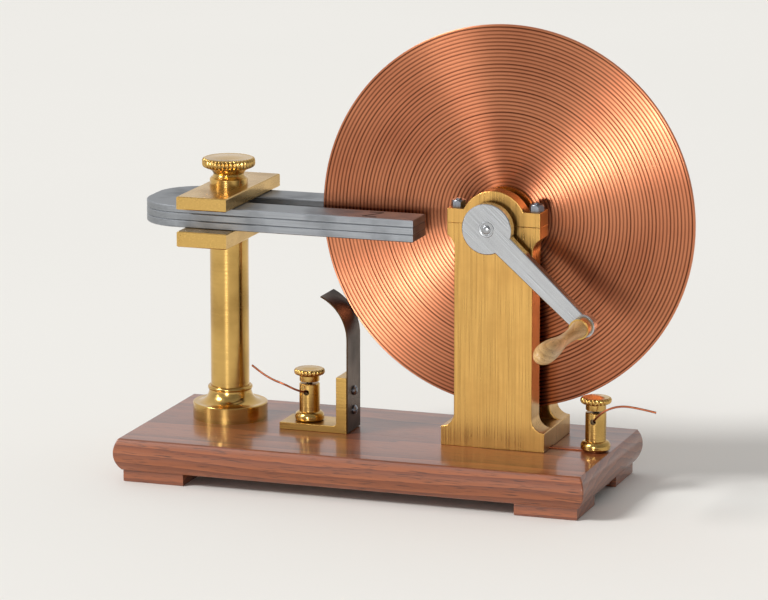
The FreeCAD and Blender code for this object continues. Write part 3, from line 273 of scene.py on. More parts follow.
@dataclass(frozen=True)
class FacedCopper(Finish):
    """Copper faced on a lathe: rings of light and shade in step with the grooves of its mesh.

    The tool left a groove at each turn of the disc. The bottom of each groove is painted as a thin
    dark ring, a painted shade, and all the grooves together throw the light of a lamp back as a
    bright wedge on each side of the middle.
    """

    centre: Point
    bore: float
    pitch: float
    bright: str = "#D38863"
    dull: str = "#AB6245"
    # the painted shade at the bottom of each groove, and how far it darkens the copper
    ring: str = "#3E1A10"
    groove_shade_share: float = 0.85
    roughness: float = 0.29
    anisotropy: float = 0.95
    # duller clouds in a metre
    clouds: float = 16.0

    def inputs(self, put: Put) -> dict[str, object]:
        """Builds the rings from the distance to the disc's middle.

        Args:
            put: adds a node to the material.

        Returns:
            What its shader's inputs take, by name.
        """
        coords = put(PLACE).outputs["Object"]
        about = put(VECTOR, (coords, self.centre), "SUBTRACT")
        across = put(VECTOR, (about, (1, 0, 1)), "MULTIPLY")
        radius = put(VECTOR, (across,), "LENGTH")
        turns = put(MATH, (radius, 1 / self.pitch, -self.bore / self.pitch), "MULTIPLY_ADD")
        angle = put(MATH, (turns, math.tau), "MULTIPLY")
        wave = put(MATH, (angle,), "COSINE")
        # darkest at the bottom of each groove: painted shade
        groove_shade_mask = put(RANGE, (wave, 0.2, -0.75, 0.0, self.groove_shade_share))
        # each ring's painted shade is a little darker or lighter than the next
        along = put(JOIN, (put(MATH, (turns, 0.7), "MULTIPLY"),))
        uneven = put(CLOUD, {"Vector": along, "Scale": 1.0, "Detail": 1.0})
        depth = put(RANGE, (uneven, 0.35, 0.65, 0.55, 1.0))
        held = put(MATH, (groove_shade_mask, depth), "MULTIPLY", use_clamp=True)
        cloud = put(CLOUD, {"Vector": coords, "Scale": self.clouds, "Detail": 4.0})
        share = put(RANGE, (cloud, 0.4, 0.7, 0.0, 0.6))
        tones = {"Factor": share, "A": linear(self.bright), "B": linear(self.dull)}
        body = put(MIX, tones, data_type="RGBA")
        # the copper takes the painted shade at the bottom of each groove
        groove_shaded = {"Factor": held, "A": body, "B": linear(self.ring)}
        worn = put(MATH, (held, cloud), "ADD")
        return {
            "Base Color": put(MIX, groove_shaded, data_type="RGBA"),
            "Metallic": 1.0,
            "Roughness": put(RANGE, (worn, 0.3, 1.3, self.roughness, 1.5 * self.roughness)),
            "Anisotropic": self.anisotropy,
            # the light spreads across the grooves
            "Anisotropic Rotation": 0.25,
            "Tangent": put("ShaderNodeTangent", direction_type="RADIAL", axis="Y"),
        }


@dataclass(frozen=True)
class Wood(Finish):
    """A polished wood cut from a log, with growth rings, ribbon streaks and short dark pores.

    The grain runs along X, or along Y with turned set. heart is a point on the log's axis and
    ring_mm the spacing of its rings. The polish is a thin clear coat that levels the pores.
    """

    early: str
    late: str
    pore: str
    heart: Point
    turned: bool = False
    ring_mm: float = 5.5
    pore_mm: float = 0.55
    coat: float = 0.6
    coat_roughness: float = 0.12
    roughness: float = 0.42
    # how far the rings sway, in rings, and how often in a metre
    sway: float = 2.6
    bends: float = 26.0
    # ribbon streaks in a metre: some centimetres long and a few millimetres wide
    streaks: Point = (14.0, 420.0, 420.0)
    # pores are this much longer than wide, and this deep
    pore_length: float = 22.0
    pore_depth_mm: float = 0.1

    def inputs(self, put: Put) -> dict[str, object]:
        """Builds the rings as distance from the heart, bent by noise, with pores on top.

        Args:
            put: adds a node to the material.

        Returns:
            What its shader's inputs take, by name.
        """
        placed = put(VECTOR, (put(PLACE).outputs["Object"], self.heart), "SUBTRACT")
        turn = QUARTER if self.turned else 0.0
        grain = put("ShaderNodeMapping", {"Vector": placed, "Rotation": (0, 0, turn)})
        ring = self.ring_mm * MM
        drawn = put(VECTOR, (grain, (0.12, 1, 1)), "MULTIPLY")
        noise = put(CLOUD, {"Vector": drawn, "Scale": self.bends, "Detail": 3.0})
        # the log tapers a little, so its rings run out of the board
        across = put(VECTOR, (grain, (0.03, 1, 1)), "MULTIPLY")
        distance = put(VECTOR, (across,), "LENGTH")
        bent = put(MATH, (noise, self.sway * ring, distance), "MULTIPLY_ADD")
        years = put(MATH, (bent, ring), "DIVIDE")
        share = put(MATH, (years,), "FRACT")
        band = put(RANGE, (share, 0.1, 0.95, 0.0, 0.5))
        long = put(VECTOR, (grain, self.streaks), "MULTIPLY")
        streak = put(CLOUD, {"Vector": long, "Scale": 1.0, "Detail": 4.0})
        tone = put(MATH, (streak, 0.5, band), "MULTIPLY_ADD", use_clamp=True)
        tones = {"Factor": tone, "A": linear(self.early), "B": linear(self.late)}
        body = put(MIX, tones, data_type="RGBA")
        fine = 1 / (self.pore_mm * MM)
        pore_at = put(VECTOR, (grain, (fine / self.pore_length, fine, fine)), "MULTIPLY")
        cells = put(CLOUD, {"Vector": pore_at, "Scale": 1.0, "Detail": 2.0})
        pore = put(RANGE, (cells, 0.56, 0.7, 0.0, 1.0))
        held = put(MATH, (pore, 0.75), "MULTIPLY")
        pored = {"Factor": held, "A": body, "B": linear(self.pore)}
        bump = {"Height": pore, "Strength": 0.3, "Distance": -self.pore_depth_mm * MM}
        return {
            "Base Color": put(MIX, pored, data_type="RGBA"),
            "Roughness": self.roughness,
            "Normal": put("ShaderNodeBump", bump),
            "IOR": 1.5,
            "Coat Weight": self.coat,
            "Coat Roughness": self.coat_roughness,
        }


@dataclass(frozen=True)
class Matte(Finish):
    """A plain dull coat, for the floor and for the paint in a cut mark."""

    colour: str
    roughness: float = 0.9
    gloss: float = 0.5

    def inputs(self, put: Put) -> dict[str, object]:
        """Builds the coat with a faint cloud in its colour.

        Args:
            put: adds a node to the material.

        Returns:
            What its shader's inputs take, by name.
        """
        coords = put(PLACE).outputs["Object"]
        cloud = put(CLOUD, {"Vector": coords, "Scale": 2.0, "Detail": 3.0})
        level = put(RANGE, (cloud, 0.0, 1.0, 0.985, 1.015))
        tint = put(VECTOR, {0: linear(self.colour)[:3], "Scale": level}, "SCALE")
        return {"Base Color": tint, "Roughness": self.roughness, "Specular IOR Level": self.gloss}


# French-polished mahogany: red-brown with a ribbon figure, short pores and a deep clear shine
MAHOGANY = Wood("polished_mahogany", "#A35C33", "#5B2813", "#2B1008", heart=(0.0, 0.03, -0.16))
# turned boxwood, waxed by the hand: pale yellow-brown, close-grained, with a soft low shine
BOXWOOD = Wood(
    "waxed_boxwood",
    "#D6B077",
    "#A87C44",
    "#7B5528",
    heart=(0.11, 0.0, 0.1),
    turned=True,
    ring_mm=2.2,
    pore_mm=0.4,
    coat=0.2,
    coat_roughness=0.28,
)

BRASS = ("#D8B067", "#8D6A33")
STEEL = ("#C4C6C9", "#77787C")
# planed and lacquered brass plate: yellow, with faint straight strokes across the magnets
PLATE_BRASS = Metal("planed_brass", *BRASS, Run.ALONG_Y, 0.26, pitch_mm=1.0)
# filed and lacquered brass: the same yellow with strokes along the length
BRACKET_BRASS = Metal("filed_brass", "#D2A95F", BRASS[1], Run.ALONG_X, 0.28, pitch_mm=1.0)
# cast brass, draw-filed upwards: a browner yellow with long upright strokes
CAST_BRASS = Metal(
    "draw_filed_brass", "#D3A55E", "#8A602C", Run.ALONG_Z, 0.3, marks=0.35, stain=0.35
)
# turned bronze of the bushes: a darker red-yellow
BRONZE = Metal("turned_bronze", "#A97C4A", "#5E3F20", Run.ROUND_Y, 0.28)
# soft copper drawn through a die: red-brown, dulled by handling
DRAWN_COPPER = Metal("drawn_copper", "#A86040", "#4E281A", Run.ALONG_X, 0.34, stain=0.7)
# hardened magnet steel, ground flat: grey with strokes along the arms, and worn edges with a
# painted highlight
GROUND_STEEL = Metal(
    "ground_magnet_steel", "#979A9E", "#4E5053", Run.ALONG_X, 0.48, pitch_mm=0.8, marks=0.4
)
# filed and polished steel: pale grey, with strokes along the crank
CRANK_STEEL = Metal("polished_crank_steel", *STEEL, Run.ALONG_CRANK, marks=0.35, stain=0.35)
# blued steel of the nuts and screws in daily use: worn back to a cool grey, their edges rubbed and
# given a painted highlight
FASTENER_STEEL = Metal("worn_blued_steel", "#93979F", "#454A54", Run.ALONG_Z, 0.28, stain=0.6)
# steel blued in hot sand: blue-black, with a faint brown where it has worn
BLUED_STEEL = Metal("blued_steel", "#3A404B", "#22242A", Run.ALONG_Z, 0.36)
# hard-rolled brass strip, its colour painted dark brown as shade, for the strip faces away from the
# light; with strokes up the strip
SPRING_BRASS = Metal(
    "shaded_spring_brass", "#523A24", "#24170F", Run.ALONG_Z, 0.32, marks=0.35, stain=0.8
)


def turned_upright(node: str) -> Metal:
    """Lacquered brass turned about a piece's own upright axis: yellow, with rings of light."""
    name, at = f"turned_brass_{node}", tuple(centre_of(node))
    return Metal(name, *BRASS, Run.ROUND_Z, 0.2, anisotropy=0.35, axis=at)


def turned_along(label: str, node: str, tones: tuple[str, str]) -> Metal:
    """A metal turned about an axis along the shaft, through the middle of a node."""
    return Metal(f"{label}_{node}", *tones, Run.ROUND_Y, 0.22, axis=tuple(centre_of(node)))


def seat(made: Object, body: str, slot: str, *nodes: str) -> None:
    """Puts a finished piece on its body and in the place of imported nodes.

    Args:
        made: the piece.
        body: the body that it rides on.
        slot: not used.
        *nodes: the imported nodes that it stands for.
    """
    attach(made, body)
    if nodes:
        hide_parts(*nodes)
    log.info("%s rides on %s", made.name, body)


def dress(finish: Finish, *nodes: str) -> None:
    """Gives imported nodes, which keep their shape, a finish.

    Args:
        finish: their surface.
        *nodes: the nodes.
    """
    for node in nodes:
        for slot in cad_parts[node].material_slots:
            slot.material = finish.material()
        log.info("%s: %s", node, finish.name)


def linked(name: str, data: bpy.types.ID) -> Object:
    """Makes an object and puts it in the scene.

    Args:
        name: its name.
        data: its mesh, curve, camera or light.

    Returns:
        The object.
    """
    made = bpy.data.objects.new(name, data)
    bpy.context.scene.collection.objects.link(made)
    return made


def spots_at(name: str, places: Sequence[Vector | Point]) -> Object:
    """Makes an object of bare points, for a tree to read.

    Args:
        name: its name.
        places: its points.

    Returns:
        The object.
    """
    mesh = bpy.data.meshes.new(name)
    mesh.from_pydata(list(places), [], [])
    return linked(name, mesh)


def piece(name: str, shell: bmesh.types.BMesh, finish: Finish) -> Object:
    """Makes a piece at the origin, with smooth faces and sharp edges.

    Args:
        name: its name.
        shell: its shape, with its place in it, which is freed.
        finish: its one surface.

    Returns:
        The piece.
    """
    mesh = bpy.data.meshes.new(name)
    shell.to_mesh(mesh)
    shell.free()
    mesh.materials.append(finish.material())
    mesh.shade_smooth()
    mesh.set_sharp_from_angle(angle=SHARP)
    return linked(name, mesh)


def evaluated(host: Object) -> Mesh:
    """Takes the modifiers off an object and keeps what they made.

    Args:
        host: the object.

    Returns:
        The plain mesh that they made.
    """
    bpy.context.view_layer.update()
    seen = host.evaluated_get(bpy.context.evaluated_depsgraph_get())
    made = bpy.data.meshes.new_from_object(seen)
    host.modifiers.clear()
    return made


def upright(node: str) -> Matrix:
    """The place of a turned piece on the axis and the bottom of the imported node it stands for."""
    return Matrix.Translation((*centre_of(node).xy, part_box(node)[0].z))


def facing_front(at: Vector) -> Matrix:
    """A place whose Z axis looks to the front, along the shaft."""
    return Matrix.Translation(at) @ Matrix.Rotation(QUARTER, 4, "X")


def rounded(corners: Sequence[Corner], radius: float, steps: int = 3) -> list[Corner]:
    """Rounds the corners of a closed profile that turn sharply.

    Args:
        corners: the profile's corners, with their flute shares.
        radius: how far from the corner its rounding starts, at most a third of the side.
        steps: points put in place of each corner, less one.

    Returns:
        The profile with its corners rounded by quadratic arcs.
    """
    done = []
    for i, corner in enumerate(corners):
        here = Vector(corner)
        before = Vector(corners[i - 1]) - here
        after = Vector(corners[(i + 1) % len(corners)]) - here
        if here.x == 0 or before.xy.angle(after.xy) > NEARLY_STRAIGHT:
            done.append(corner)
            continue
        start = here + before * min(radius / before.xy.length, 1 / 3)
        finish = here + after * min(radius / after.xy.length, 1 / 3)
        for k in range(steps + 1):
            t = k / steps
            done.append(tuple(start * (1 - t) ** 2 + here * 2 * t * (1 - t) + finish * t * t))
    return done


@dataclass(frozen=True)
class EasedEdges:
    """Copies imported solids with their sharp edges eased, as a file or a scraper leaves them."""

    width_mm: float
    steps: int = 3
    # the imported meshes' flat faces come as triangles that turn by less than this
    flat: float = math.radians(0.3)
    sharp: float = math.radians(28)

    def copy(self, node: str, body: str, slot: str, finish: Finish) -> None:
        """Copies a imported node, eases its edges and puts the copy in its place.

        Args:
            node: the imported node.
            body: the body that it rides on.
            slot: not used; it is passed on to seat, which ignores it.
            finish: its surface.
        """
        shell = bmesh.new()
        shell.from_mesh(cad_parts[node].data)
        bmesh.ops.remove_doubles(shell, verts=shell.verts, dist=MERGE)
        bmesh.ops.dissolve_limit(shell, angle_limit=self.flat, verts=shell.verts, edges=shell.edges)
        bmesh.ops.bevel(
            shell,
            geom=[edge for edge in shell.edges if edge.calc_face_angle(0.0) > self.sharp],
            offset=self.width_mm * MM,
            segments=self.steps,
            profile=0.5,
            affect="EDGES",
            loop_slide=True,
        )
        made = piece(f"{node}_eased", shell, finish)
        # large flats keep flat normals beside the eased edges
        made.modifiers.new("normals", "WEIGHTED_NORMAL").keep_sharp = True
        made.data = evaluated(made)
        seat(made, body, slot, node)


class Tree:
    """A Geometry Nodes tree with named inputs that ends in plain geometry with one material."""

    def __init__(self, name: str, inputs: dict[str, str]) -> None:
        """Makes the tree's sockets.

        Args:
            name: the tree's name.
            inputs: the type of each input, by its name; Material is added.
        """
        self.tree = bpy.data.node_groups.new(name, "GeometryNodeTree")
        sockets = self.tree.interface
        sockets.new_socket("Geometry", in_out="OUTPUT", socket_type="NodeSocketGeometry")
        self.keys = {
            label: sockets.new_socket(
                label, in_out="INPUT", socket_type=f"NodeSocket{kind}"
            ).identifier
            for label, kind in {**inputs, "Material": "Material"}.items()
        }
        self.put = partial(add, self.tree)
        self.given = self.put("NodeGroupInput").outputs

    def end(self, shape: Node) -> None:
        """Closes the tree: its shape is made real and takes the material.

        Args:
            shape: the last node of the shape.
        """
        plain = self.put("GeometryNodeRealizeInstances", (shape,))
        inputs = {"Geometry": plain, "Material": self.given["Material"]}
        done = self.put("GeometryNodeSetMaterial", inputs)
        self.put("NodeGroupOutput", (done,))

    def make(self, name: str, finish: Finish, place: Matrix, **wanted: object) -> Object:
        """Runs the tree on an empty host and closes the shells that come out.

        Args:
            name: the piece's name.
            finish: its surface.
            place: where its own origin and Z axis go.
            **wanted: what goes into each other input.

        Returns:
            The piece, at the origin, with its place in its mesh and its faces outwards.
        """
        host = linked(name, bpy.data.meshes.new(name))
        modifier = host.modifiers.new(name, "NODES")
        modifier.node_group = self.tree
        for key, setting in {**wanted, "Material": finish.material()}.items():
            modifier[self.keys[key]] = setting
        mesh = evaluated(host)
        bpy.data.objects.remove(host)
        mesh.transform(place)
        shell = bmesh.new()
        shell.from_mesh(mesh)
        bpy.data.meshes.remove(mesh)
        bmesh.ops.remove_doubles(shell, verts=shell.verts, dist=MERGE)
        bmesh.ops.dissolve_degenerate(shell, edges=shell.edges, dist=MERGE)
        bmesh.ops.delete(shell, geom=[e for e in shell.edges if e.is_wire], context="EDGES")
        bmesh.ops.recalc_face_normals(shell, faces=shell.faces)
        return piece(name, shell, finish)


class Lathe(Tree):
    """Turns a closed profile about Z and cuts flutes, or a thread, where its points are marked."""

    # how much sharper than a wave the flutes are
    crest: float = 1.6

    def __init__(self) -> None:
        """Builds the tree: a grid whose rows are wrapped round the axis at the profile's radii."""
        counts = dict.fromkeys(("Points", "Segments", "Flutes"), "Int")
        sizes = dict.fromkeys(("Depth", "Twist"), "Float")
        super().__init__("lathe", {"Profile": "Object", **counts, **sizes})
        put, given = self.put, self.given
        around = put(MATH, (given["Segments"], 1.0), "ADD")
        counted = {"Vertices X": given["Points"], "Vertices Y": around}
        index = put("GeometryNodeInputIndex")
        passed = put(MATH, (index, around), "DIVIDE")
        sampled = {
            "Geometry": put(OTHER, {"Object": given["Profile"]}).outputs["Geometry"],
            "Value": put("GeometryNodeInputPosition"),
            "Index": put(MATH, (passed,), "FLOOR"),
        }
        corner = put("GeometryNodeSampleIndex", sampled, data_type="FLOAT_VECTOR")
        radius, height, share = put(SPLIT, (corner,)).outputs
        step = put(MATH, (index, around), "MODULO")
        part = put(MATH, (step, given["Segments"]), "DIVIDE")
        angle = put(MATH, (part, math.tau), "MULTIPLY")
        wound = put(MATH, (height, given["Twist"]), "MULTIPLY")
        flutes = put(MATH, (angle, given["Flutes"], wound), "MULTIPLY_ADD")
        wave = put(MATH, (flutes,), "COSINE")
        flute = put(MATH, (wave, -0.5, 0.5), "MULTIPLY_ADD")
        groove = put(MATH, (flute, self.crest), "POWER")
        deep = put(MATH, (groove, given["Depth"]), "MULTIPLY")
        sunk = put(MATH, (deep, share), "MULTIPLY")
        out = put(MATH, (radius, sunk), "SUBTRACT")
        ways = (put(MATH, (angle,), operation=way) for way in ("COSINE", "SINE"))
        x, y = (put(MATH, (way, out), "MULTIPLY") for way in ways)
        inputs = {
            "Geometry": put("GeometryNodeMeshGrid", counted),
            "Position": put(JOIN, (x, y, height)),
        }
        self.end(put("GeometryNodeSetPosition", inputs))

    def turn(
        self, name: str, profile: Sequence[Corner], finish: Finish, place: Matrix, **cut: float
    ) -> Object:
        """Turns a profile into a plain closed piece.

        Args:
            name: the piece's name.
            profile: its corners in metres, closed by itself.
            finish: its surface.
            place: where its own origin and Z axis go.
            **cut: Segments, the faces round the axis, and the Flutes round it, their Depth in
                metres and their Twist, the radians that they wind in a metre of height.

        Returns:
            The piece, at the origin, with its place in its mesh.
        """
        corners = [(*corner, 0.0)[:3] for corner in (*profile, profile[0])]
        guide = spots_at("profile", corners)
        made = self.make(name, finish, place, Profile=guide, Points=len(corners), **cut)
        bpy.data.objects.remove(guide)
        return made


@cache
def lathe() -> Lathe:
    """The one lathe that turns every round piece."""
    return Lathe()


class ScrewRow(Tree):
    """Cuts the slot in a turned screw and sets one at each place, each turned as it stopped."""

    def __init__(self) -> None:
        """Builds the tree."""
        sizes = {"Slot": "Vector", "Slot Height": "Float", "Turn": "Rotation", "Seed": "Int"}
        super().__init__("screw_row", {"Blank": "Object", "Places": "Object", **sizes})
        put, given = self.put, self.given
        blank, places = (
            put(OTHER, {"Object": given[key]}).outputs["Geometry"]
            for key in ("Blank", "Places")
        )
        cutter = put("GeometryNodeMeshCube", {"Size": given["Slot"]})
        lift = put(JOIN, {2: given["Slot Height"]})
        raised = put("GeometryNodeTransform", {"Geometry": cutter, "Translation": lift})
        slotted = put("GeometryNodeMeshBoolean", {"Mesh 1": blank, "Mesh 2": raised}, "DIFFERENCE")
        limits = {"Min": 0.0, "Max": math.pi, "Seed": given["Seed"]}
        angle = put("FunctionNodeRandomValue", limits, data_type="FLOAT")
        spin = put("FunctionNodeAxisAngleToRotation", {"Angle": angle})
        both = put("FunctionNodeRotateRotation", (given["Turn"], spin), rotation_space="LOCAL")
        inputs = {"Points": places, "Instance": slotted, "Rotation": both}
        self.end(put("GeometryNodeInstanceOnPoints", inputs))


@dataclass(frozen=True)
class SlottedScrews:
    """Turned screws with slotted heads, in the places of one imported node."""

    node: str
    body: str
    finish: Finish
    # (radius, height) of the head's outline, from the middle of its top to its underside
    head_mm: Outline
    # across, wide and, half of it in the head, deep
    slot_mm: Point
    seed: int
    shank_dia_mm: float = 3.0
    segments: int = 32

    @property
    def head(self) -> tuple[float, float]:
        """The head's radius and height, in metres."""
        return self.head_mm[-1][0] * MM, self.head_mm[0][1] * MM

    def build(self, spots: Sequence[Vector], way: Point, length: float) -> None:
        """Turns a screw, slots it and sets one at each place.

        Args:
            spots: the middle of each head's underside.
            way: the turn that points the heads outwards from straight up, in radians.
            length: how long the head and the shank are together.
        """
        top = self.head[1]
        shank = self.shank_dia_mm / 2 * MM
        head = [(r * MM, h * MM) for r, h in self.head_mm]
        corners = [*head, (shank, 0.0), (shank, top - length), (0.0, top - length)]
        at = Matrix.Identity(4)
        blank = lathe().turn("screw_blank", corners, self.finish, at, Segments=self.segments)
        places = spots_at("screw_places", spots)
        slot = {"Slot": Vector(self.slot_mm) * MM, "Slot Height": top}
        wanted = {"Blank": blank, "Places": places, **slot, "Turn": way, "Seed": self.seed}
        made = ScrewRow().make(f"{self.node}_slotted", self.finish, at, **wanted)
        for helper in (blank, places):
            bpy.data.objects.remove(helper)
        seat(made, self.body, "blued_steel", self.node)


def turn_to(thing: Object, back: Vector) -> None:
    """Turns a camera or a lamp so that it looks away from a direction."""
    thing.rotation_mode = "QUATERNION"
    thing.rotation_quaternion = (-back).to_track_quat("-Z", "Y")


@dataclass(frozen=True)
class SoftBox:
    """A soft box: its place, its width and height, its power in watts and the point it faces."""

    name: str
    at: Point
    size: tuple[float, float]
    power: float
    towards: Point

    def hang(self) -> None:
        """Adds the lamp, out of the camera's sight."""
        light = bpy.data.lights.new(self.name, "AREA")
        light.shape = "RECTANGLE"
        light.size, light.size_y = self.size
        light.energy = self.power
        lamp = linked(self.name, light)
        lamp.visible_camera = False
        lamp.location = self.at
        turn_to(lamp, Vector(self.at) - Vector(self.towards))


# both stand far out, so that their pools of light on the floor are out of every view
WINDOW = SoftBox("window", (-6.0, -4.8, 3.2), (1.0, 4.4), 72.0, (0.0, 0.0, 0.12))
# straight in front of the disc, so that its grooves throw the light up to the right
WEDGE = SoftBox("wedge", (0.2, -8.0, 0.35), (1.2, 0.6), 210.0, (0.05, 0.04, 0.17))


@dataclass(frozen=True)
class Studio:
    """The camera, the lamps, the pale floor and the sky that the metals mirror."""

    azimuth: float = 19.0
    elevation: float = 12.0
    distance: float = 2.6
    aim: Point = (-0.009, 0.0, 0.120)
    lens: float = 198.0
    floor_radius: float = 14.0
    floor_sides: int = 96
    # matt paper: nearly white, with no shine at all
    floor: Finish = Matte("pale_floor", "#EFEDE8", gloss=0.0)
    sun_from: Point = (-0.62, -0.55, 0.68)
    sun_strength: float = 2.0
    sun_width: float = math.radians(16)
    # how bright the sky is from the front to the back, and from the left to the right
    sky_depth: tuple[float, float] = (0.38, 0.86)
    sky_width: tuple[float, float] = (1.1, 0.62)
    boxes: tuple[SoftBox, ...] = (WINDOW, WEDGE)

    def camera(self) -> None:
        """Sets the camera where the picture was taken from."""
        turn, rise = math.radians(self.azimuth), math.radians(self.elevation)
        flat = math.cos(rise)
        back = Vector((math.sin(turn) * flat, -math.cos(turn) * flat, math.sin(rise)))
        lens = bpy.data.cameras.new("camera")
        lens.lens = self.lens
        camera = linked("camera", lens)
        camera.location = Vector(self.aim) + back * self.distance
        turn_to(camera, back)
        bpy.context.scene.camera = camera

    def lamps(self) -> None:
        """Lights from the upper left, with low boxes in front for the metals' bright lines."""
        light = bpy.data.lights.new("key", "SUN")
        light.energy = self.sun_strength
        light.angle = self.sun_width
        turn_to(linked("key", light), Vector(self.sun_from))
        for box in self.boxes:
            box.hang()

    def sky(self) -> None:
        """Makes a grey studio sky, brighter behind the object and at the left."""
        world = bpy.data.worlds.new("studio")
        bpy.context.scene.world = world
        world.use_nodes = True
        world.node_tree.nodes.clear()
        put = partial(add, world.node_tree)
        right, back, _ = put(SPLIT, (put(PLACE).outputs["Generated"],)).outputs
        behind = put(RANGE, (back, -0.6, 0.5, *self.sky_depth))
        aside = put(RANGE, (right, -0.8, 0.8, *self.sky_width))
        level = put(MATH, (behind, aside), "MULTIPLY")
        light = put("ShaderNodeBackground", {"Color": (1, 1, 1, 1), "Strength": level})
        put("ShaderNodeOutputWorld", {"Surface": light})

    def ground(self) -> None:
        """Lays the floor, wide enough to fill the view from every side."""
        disc = bmesh.new()
        sizes = {"segments": self.floor_sides, "radius": self.floor_radius}
        bmesh.ops.create_circle(disc, cap_ends=True, **sizes)
        piece("floor", disc, self.floor)

    def set_up(self) -> None:
        """Sets the whole studio."""
        bpy.context.scene.view_settings.view_transform = "Standard"
        for part in (self.camera, self.ground, self.sky, self.lamps):
            part()


@dataclass(frozen=True)
class Lead:
    """One bare copper wire, from inside its terminal's hole outwards."""

    side: str
    # places about the middle of the wire hole
    route_mm: Sequence[Point]
    length_mm: float
    diameter_mm: float = 1.3
    # how far the wire hole is below the post's top
    hole_below_top_mm: float = 5.2
    # how finely the line and its round are drawn
    steps: int = 12
    sides: int = 5

    def build(self) -> None:
        name, node, post = (f"{self.side}_{end}" for end in ("wire", "lead", "terminal_post"))
        hole = Vector((*centre_of(post).xy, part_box(post)[1].z - self.hole_below_top_mm * MM))
        spots = [hole + Vector(spot) * MM for spot in self.route_mm]
        line = bpy.data.curves.new(name, "CURVE")
        line.dimensions = "3D"
        line.resolution_u = self.steps
        line.bevel_depth = self.diameter_mm / 2 * MM
        line.bevel_resolution = self.sides
        line.use_fill_caps = True
        spline = line.splines.new("NURBS")
        spline.points.add(len(spots) - 1)
        for point, spot in zip(spline.points, spots):
            point.co = (*spot, 1.0)
        spline.order_u = 3
        spline.use_endpoint_u = True
        line.materials.append(DRAWN_COPPER.material())
        wire = linked(name, line)
        seat(wire, "stand", "soft_copper", node)


BRACKET_ROUTE_MM = (
    (0.0, 1.4, 0.0), (0.0, -6.2, 0.0), (-4.5, -12.0, 2.5), (-12.5, -12.5, 6.0),
    (-21.5, -8.5, 7.2), (-30.5, -4.5, 10.0), (-38.0, -1.5, 13.8),
)
BASE_ROUTE_MM = (
    (0.0, 1.2, 0.0), (0.0, -6.2, 0.0), (3.6, -11.2, 4.2), (9.5, -11.2, 9.6),
    (18.5, -8.5, 12.3), (29.5, -6.8, 11.0), (40.0, -6.0, 9.0),
)


@dataclass(frozen=True)
class KnurledHead:
    """A turned brass head with a fluted rim: the clamp's knob or a terminal's thumb screw."""

    name: str
    node: str
    body: str
    # (radius, height) of each corner
    outline_mm: Outline
    flutes: int
    depth_mm: float
    # the first corner that the flutes cut, and how much of their depth it and the next ones take
    cut_from: int
    shares: tuple[float, ...] = (0.3, 1.0, 1.0, 1.0, 1.0, 0.2)
    corner_mm: float = 0.35
    segments_per_flute: int = 10

    def build(self) -> None:
        """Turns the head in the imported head's place."""
        cut = dict(enumerate(self.shares, self.cut_from))
        corners = [(r * MM, h * MM, cut.get(i, 0.0)) for i, (r, h) in enumerate(self.outline_mm)]
        made = lathe().turn(
            self.name,
            rounded(corners, self.corner_mm * MM),
            turned_upright(self.node),
            upright(self.node),
            Segments=self.flutes * self.segments_per_flute,
            Flutes=self.flutes,
            Depth=self.depth_mm * MM,
        )
        seat(made, self.body, "lacquered_brass", self.node)


KNOB_OUTLINE_MM = (
    (4.1, 0.0), (11.0, 0.0), (10.3, 0.7), (9.6, 1.9), (9.9, 3.0), (11.0, 4.3), (12.8, 5.4),
    (14.9, 6.2), (16.4, 7.0), (16.8, 8.2), (16.8, 10.6), (16.4, 11.8), (15.2, 12.4),
    (14.2, 12.2), (9.0, 12.7), (4.0, 13.1), (0.0, 13.2), (0.0, 9.6), (4.1, 9.6),
)
THUMB_OUTLINE_MM = (
    (2.05, 0.0), (6.35, 0.0), (6.35, 3.6), (6.7, 4.0),
    (8.4, 4.1), (9.3, 4.6), (9.7, 5.5), (9.7, 6.7), (9.3, 7.5), (8.3, 7.95),
    (7.6, 7.8), (5.0, 8.3), (2.5, 8.57), (0.0, 8.6), (0.0, 5.3), (2.05, 5.3),
)


@dataclass(frozen=True)
class ThreadedRod:
    """A steel rod or screw with a right-handed thread wound round its upper part."""

    name: str
    node: str
    body: str
    finish: Finish
    pitch_mm: float
    chamfer_mm: float
    # how far down from its top it is threaded, at most all of it
    threaded_mm: float = 30.0
    # the thread's depth as a share of its pitch
    deep: float = 0.6
    rows_per_turn: int = 6
    segments: int = 36

    def build(self) -> None:
        """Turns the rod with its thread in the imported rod's place."""
        low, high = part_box(self.node)
        radius, length = (high.x - low.x) / 2, high.z - low.z
        chamfer, pitch = self.chamfer_mm * MM, self.pitch_mm * MM
        row = pitch / self.rows_per_turn
        count = int(min(self.threaded_mm * MM, length - 2 * chamfer) / row)
        # the last turn runs out of the rod
        thread = [
            (radius, length - chamfer - k * row, min(1.0, (count - k) / self.rows_per_turn))
            for k in range(count + 1)
        ]
        top = [(0.0, length), (radius - chamfer, length)]
        bottom = [(radius, chamfer), (radius - chamfer, 0.0), (0.0, 0.0)]
        made = lathe().turn(
            self.name,
            [*top, *thread, *bottom],
            self.finish,
            upright(self.node),
            Segments=self.segments,
            Flutes=1,
            Depth=self.deep * pitch,
            Twist=-math.tau / pitch,
        )
        seat(made, self.body, "blued_steel", self.node)


